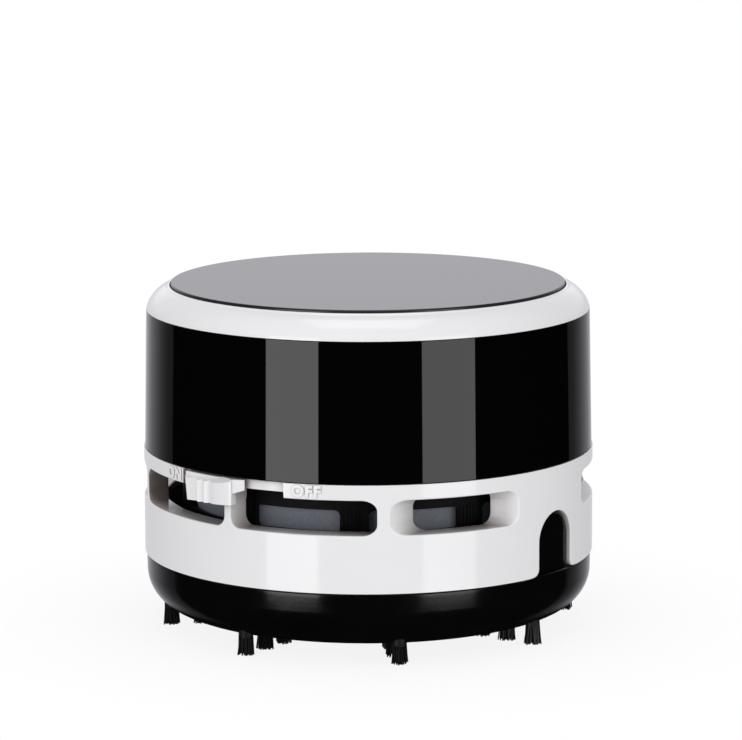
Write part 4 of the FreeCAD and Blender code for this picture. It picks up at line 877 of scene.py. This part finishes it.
cell_half = 25.25 * MM
bare_metal = (0.5, 0.5, 0.5)
pale_metal = (0.55, 0.55, 0.55)
dark_ink = (0.03, 0.05, 0.12)
blue_ink = (0.045, 0.08, 0.18)
gold_ink = (0.75, 0.55, 0.1)
jacket_bands = ((0.0, bare_metal), (0.012, dark_ink), (0.72, gold_ink), (0.74, blue_ink),
                (0.93, gold_ink), (0.962, pale_metal))


def cell_jacket(name, facing):
    """Printed jacket: bands along the cell in three inks, bare metal at both ends."""
    material = coating(name, blue_ink, shade=0.05, roughness=0.25, grain=900, depth=0.03)
    nodes, links, shader = workings(material)
    where = nodes.new("ShaderNodeTexCoord")
    apart = nodes.new("ShaderNodeSeparateXYZ")
    place = map_range(nodes, -cell_half * facing, cell_half * facing)
    bands = colour_ramp(nodes, jacket_bands)
    bands.color_ramp.interpolation = "CONSTANT"
    wire(links,
         (where, "Object", apart, "Vector"),
         (apart, "X", place, "Value"),
         (place, "Result", bands, "Fac"),
         (bands, "Color", shader, "Base Color"))
    return material


for node, name, facing in (("front_cell", "cell_front", 1), ("rear_cell", "cell_rear", -1)):
    cell = refined(node, name, edge=0.12 * MM)
    fit(cell, "housing", node, cell_jacket(name + "_jacket", facing))
nickel = coating("nickel", (0.68, 0.68, 0.66), shade=0.06, roughness=0.18, spread=0.1, patch=300,
                 grain=2500, depth=0.05, metallic=1.0)
for node, name in (("bridge_contact", "cell_bridge"), ("plus_contact", "cell_plus"),
                   ("minus_contact", "cell_minus")):
    fit(refined(node, name, edge=0.05 * MM), "housing", node, nickel)

# ---------------------------------------------------------------- upper shell
# Gloss black tube, slightly wider at its foot, polished in the mould, with a ledge
# inside for the battery tray.

lid_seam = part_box("upper_shell")[1].z
body_reach = 42.0 * MM
shell_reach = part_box("upper_shell")[1].y
shell_inner = body_reach - 1.8 * MM
shell_edge = 0.18 * MM
tray_seat = ring_top + 7.44 * MM
seat_inner = shell_inner - 2.6 * MM
seat_face = 1.4 * MM
seat_depth = 4.0 * MM
upper_tube = lathe("shell_tube", (
    (shell_inner, ring_top),
    (shell_reach, ring_top, shell_edge),
    (body_reach, lid_seam, shell_edge),
    (shell_inner, lid_seam),
    (shell_inner, tray_seat),
    (seat_inner, tray_seat),
    (seat_inner, tray_seat - seat_face),
    (shell_inner, tray_seat - seat_depth),
))
gloss_black = coating("gloss_black", (0.0012, 0.0012, 0.0014), shade=0.1, roughness=0.02,
                      spread=0.01, patch=25, grain=120, depth=0.004)
fit(upper_tube, "housing", "upper_shell", gloss_black)

# ---------------------------------------------------------------- lid
# White ring with a rounded shoulder and a skirt that pushes into the shell, and a satin
# disc let into it. Two ribs under the disc hold the cells down.

rim_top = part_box("cap_ring")[1].z
disc_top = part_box("top_disc")[1].z
disc_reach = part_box("top_disc")[1].y
rim_inner = disc_reach + 0.19 * MM
bead_crest = rim_inner + 0.35 * MM
bead_foot = rim_inner + 0.7 * MM
bead_top = rim_top + 0.34 * MM
shoulder_reach = body_reach - 0.78 * MM
shoulder_height = lid_seam + 3.2 * MM
disc_seat = rim_top - 1.84 * MM
disc_seat_inner = rim_inner - 3.7 * MM
disc_seat_under = disc_seat - 1.4 * MM
skirt_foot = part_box("cap_ring")[0].z
skirt_reach = shell_inner - 0.3 * MM
skirt_inner = skirt_reach - 1.6 * MM
lid_seam_round = 0.07 * MM
shoulder_round = 3.0 * MM
bead_foot_round = 0.3 * MM
rim_round = 0.06 * MM
lid_ring = lathe("lid_ring", (
    (body_reach, lid_seam, lid_seam_round),
    (shoulder_reach, shoulder_height, shoulder_round),
    (bead_foot, rim_top, bead_foot_round),
    (bead_crest, bead_top),
    (rim_inner, bead_top, rim_round),
    (rim_inner, disc_seat),
    (disc_seat_inner, disc_seat),
    (disc_seat_inner, disc_seat_under),
    (skirt_inner, disc_seat_under),
    (skirt_inner, skirt_foot),
    (skirt_reach, skirt_foot),
    (skirt_reach, lid_seam),
))
fit(lid_ring, "lid", "cap_ring", white_plastic)

disc_under = disc_top - 1.6 * MM
disc_foot_reach = disc_reach - 1.8 * MM
disc_round = 0.36 * MM
disc = lathe("lid_disc", (
    (0, disc_under),
    (disc_foot_reach, disc_under),
    (disc_foot_reach, disc_seat),
    (disc_reach, disc_seat),
    (disc_reach, disc_top, disc_round),
    (0, disc_top),
))
hold_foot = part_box("front_cell")[1].z + 0.3 * MM
hold_top = disc_under + 0.2 * MM
hold_reach = 22.3 * MM
hold_offset = 14.0 * MM
hold_half = 0.6 * MM
holds = [cube("hold", (side * hold_offset - hold_half, -hold_reach, hold_foot),
              (side * hold_offset + hold_half, hold_reach, hold_top)) for side in (-1, 1)]
disc = joined("lid_disc", [disc] + holds)
disc_satin = coating("disc_satin", (0.02, 0.02, 0.022), shade=0.05, roughness=0.2, spread=0.004,
                     patch=400, grain=2600, depth=0.06)
fit(disc, "lid", "top_disc", disc_satin)

# ---------------------------------------------------------------- table top
# Pale paper under the piece that thins out into the white background. Gloss sees it
# painted black under the piece, a painted shadow where hardly any light falls.

floor_reach = 0.19
paper_white = (0.82, 0.82, 0.83, 1)
# Painted shadow: the black that gloss sees on the paper under the piece, and how far it reaches.
painted_shadow_black = (0.01, 0.01, 0.01, 1)
paper_thinness = 0.88
thinning_start = 0.036
thinning_end = 0.09
painted_shadow_start = 0.039
painted_shadow_end = 0.043
fresh()
bpy.ops.mesh.primitive_circle_add(vertices=128, radius=floor_reach, fill_type="NGON")
table_top = settle(bpy.context.object, "table_top")


def table_paper():
    """Diffuse paper mixed with nothing by the distance from the middle, painted shadow black to gloss.
    """
    material = bpy.data.materials.new("table_paper")
    material.use_nodes = True
    nodes, links, shader = workings(material)
    nodes.remove(shader)
    where = nodes.new("ShaderNodeTexCoord")
    ray = nodes.new("ShaderNodeLightPath")
    reach = nodes.new("ShaderNodeVectorMath")
    reach.operation = "LENGTH"
    thin = map_range(nodes, thinning_start, thinning_end, paper_thinness, interpolation="SMOOTHSTEP")
    painted_shadow_fade = map_range(nodes, painted_shadow_start, painted_shadow_end)
    seen = nodes.new("ShaderNodeMix")
    tone = nodes.new("ShaderNodeMix")
    tone.data_type = "RGBA"
    tone.inputs["A"].default_value = paper_white
    tone.inputs["B"].default_value = painted_shadow_black
    sheet = nodes.new("ShaderNodeBsdfDiffuse")
    nothing = nodes.new("ShaderNodeBsdfTransparent")
    fade = nodes.new("ShaderNodeMixShader")
    wire(links,
         (where, "Object", reach, 0),
         (reach, "Value", thin, "Value"),
         (reach, "Value", painted_shadow_fade, "Value"),
         (ray, "Is Glossy Ray", seen, "Factor"),
         (thin, "Result", seen, "A"),
         (painted_shadow_fade, "Result", seen, "B"),
         (ray, "Is Glossy Ray", tone, "Factor"),
         (tone, "Result", sheet, "Color"),
         (seen, "Result", fade, "Fac"),
         (sheet, "BSDF", fade, 1),
         (nothing, "BSDF", fade, 2),
         (fade, "Shader", nodes["Material Output"], "Surface"))
    return material


wear(table_top, table_paper())

# ---------------------------------------------------------------- studio light
# Plain light from all round, white wherever it is seen, and for reflections a bright
# backdrop behind the piece that darkens towards the camera's side, with three softboxes.

ambient_level = 0.69
ambient_tint = (0.985, 0.985, 1.0)
backdrop_way = (-0.0463, 0.999, 0)
backdrop_edge = (0.526, (0, 0, 0))
backdrop_middle = (0.97, (0.66, 0.65, 0.69))
backdrop_levels = ((0.532, 0.095), (0.61, 0.105), (0.7, 0.185), (0.77, 0.29), (0.87, 0.43))
lift_start = 0.02
lift_end = 0.16
lifted_level = 1.58


def studio_sky():
    """The world: one light for the surfaces, one for their gloss and white for the camera."""
    studio = bpy.data.worlds.new("studio")
    studio.use_nodes = True
    nodes = studio.node_tree.nodes
    nodes.clear()

    def glow(colour=(1, 1, 1), level=1.0):
        light = nodes.new("ShaderNodeBackground")
        light.inputs["Color"].default_value = list(colour) + [1]
        light.inputs["Strength"].default_value = level
        return light

    plain = glow(ambient_tint, ambient_level)
    white = glow()
    mirrored = glow()
    way = nodes.new("ShaderNodeTexCoord")
    ray = nodes.new("ShaderNodeLightPath")
    apart = nodes.new("ShaderNodeSeparateXYZ")
    depth = nodes.new("ShaderNodeVectorMath")
    depth.operation = "DOT_PRODUCT"
    depth.inputs[1].default_value = backdrop_way
    between = [(place, (level, level * 0.98, level * 1.05)) for place, level in backdrop_levels]
    backdrop = colour_ramp(nodes, [backdrop_edge] + between + [backdrop_middle])
    rise = map_range(nodes, lift_start, lift_end, 1.0, lifted_level, "SMOOTHSTEP")
    seen = nodes.new("ShaderNodeMath")
    seen.operation = "MAXIMUM"
    by_gloss = nodes.new("ShaderNodeMixShader")
    by_camera = nodes.new("ShaderNodeMixShader")
    wire(studio.node_tree.links,
         (way, "Generated", depth, 0),
         (depth, "Value", backdrop, "Fac"),
         (backdrop, "Color", mirrored, "Color"),
         (way, "Generated", apart, "Vector"),
         (apart, "Z", rise, "Value"),
         (rise, "Result", mirrored, "Strength"),
         (ray, "Is Glossy Ray", by_gloss, "Fac"),
         (plain, "Background", by_gloss, 1),
         (mirrored, "Background", by_gloss, 2),
         (ray, "Is Camera Ray", seen, 0),
         (ray, "Is Transmission Ray", seen, 1),
         (seen, "Value", by_camera, "Fac"),
         (by_gloss, "Shader", by_camera, 1),
         (white, "Background", by_camera, 2),
         (by_camera, "Shader", nodes.new("ShaderNodeOutputWorld"), "Surface"))
    return studio


scene = bpy.context.scene
scene.view_settings.view_transform = "Standard"
scene.world = studio_sky()
lamp_distance = 0.9
lamp_aim = Vector((0, 0, 0.04))


def softbox(name, angle, rise, width, height, level):
    """A rectangular lamp at a bearing, that faces the piece and shows in its gloss."""
    lamp = bpy.data.lights.new(name, "AREA")
    lamp.shape = "RECTANGLE"
    lamp.size = width
    lamp.size_y = height
    lamp.energy = level * math.pi * width * height
    holder = bpy.data.objects.new(name, lamp)
    scene.collection.objects.link(holder)
    lift = math.radians(rise)
    way = bearing(angle) * math.cos(lift) + Vector((0, 0, math.sin(lift)))
    holder.location = lamp_aim + way * lamp_distance
    holder.rotation_euler = (holder.location - lamp_aim).to_track_quat("Z", "Y").to_euler()


softbox("softbox_left", angle=-38.4, rise=4.5, width=0.445, height=0.66, level=2.4)
softbox("softbox_right", angle=40.7, rise=4.5, width=0.455, height=0.66, level=1.95)
softbox("softbox_top", angle=0, rise=84, width=0.55, height=0.55, level=1.6)

# ---------------------------------------------------------------- camera
# A long lens from the front, a little above the lid. Its pitch, roll and turn are in
# degrees.

camera_reach = 0.74195
camera_height = 0.1757
camera_pitch = 9.768
camera_roll = 0.17
camera_turn = 0.042
camera_data = bpy.data.cameras.new("camera")
camera_data.sensor_width = 36
camera_data.lens = 192.13
camera_data.clip_start = 0.01
camera = bpy.data.objects.new("camera", camera_data)
scene.collection.objects.link(camera)
aim = (Matrix.Rotation(math.radians(-camera_turn), 4, "Z")
       @ Matrix.Rotation(math.radians(90 - camera_pitch), 4, "X")
       @ Matrix.Rotation(math.radians(-camera_roll), 4, "Z"))
camera.matrix_world = Matrix.Translation((0, -camera_reach, camera_height)) @ aim
scene.camera = camera
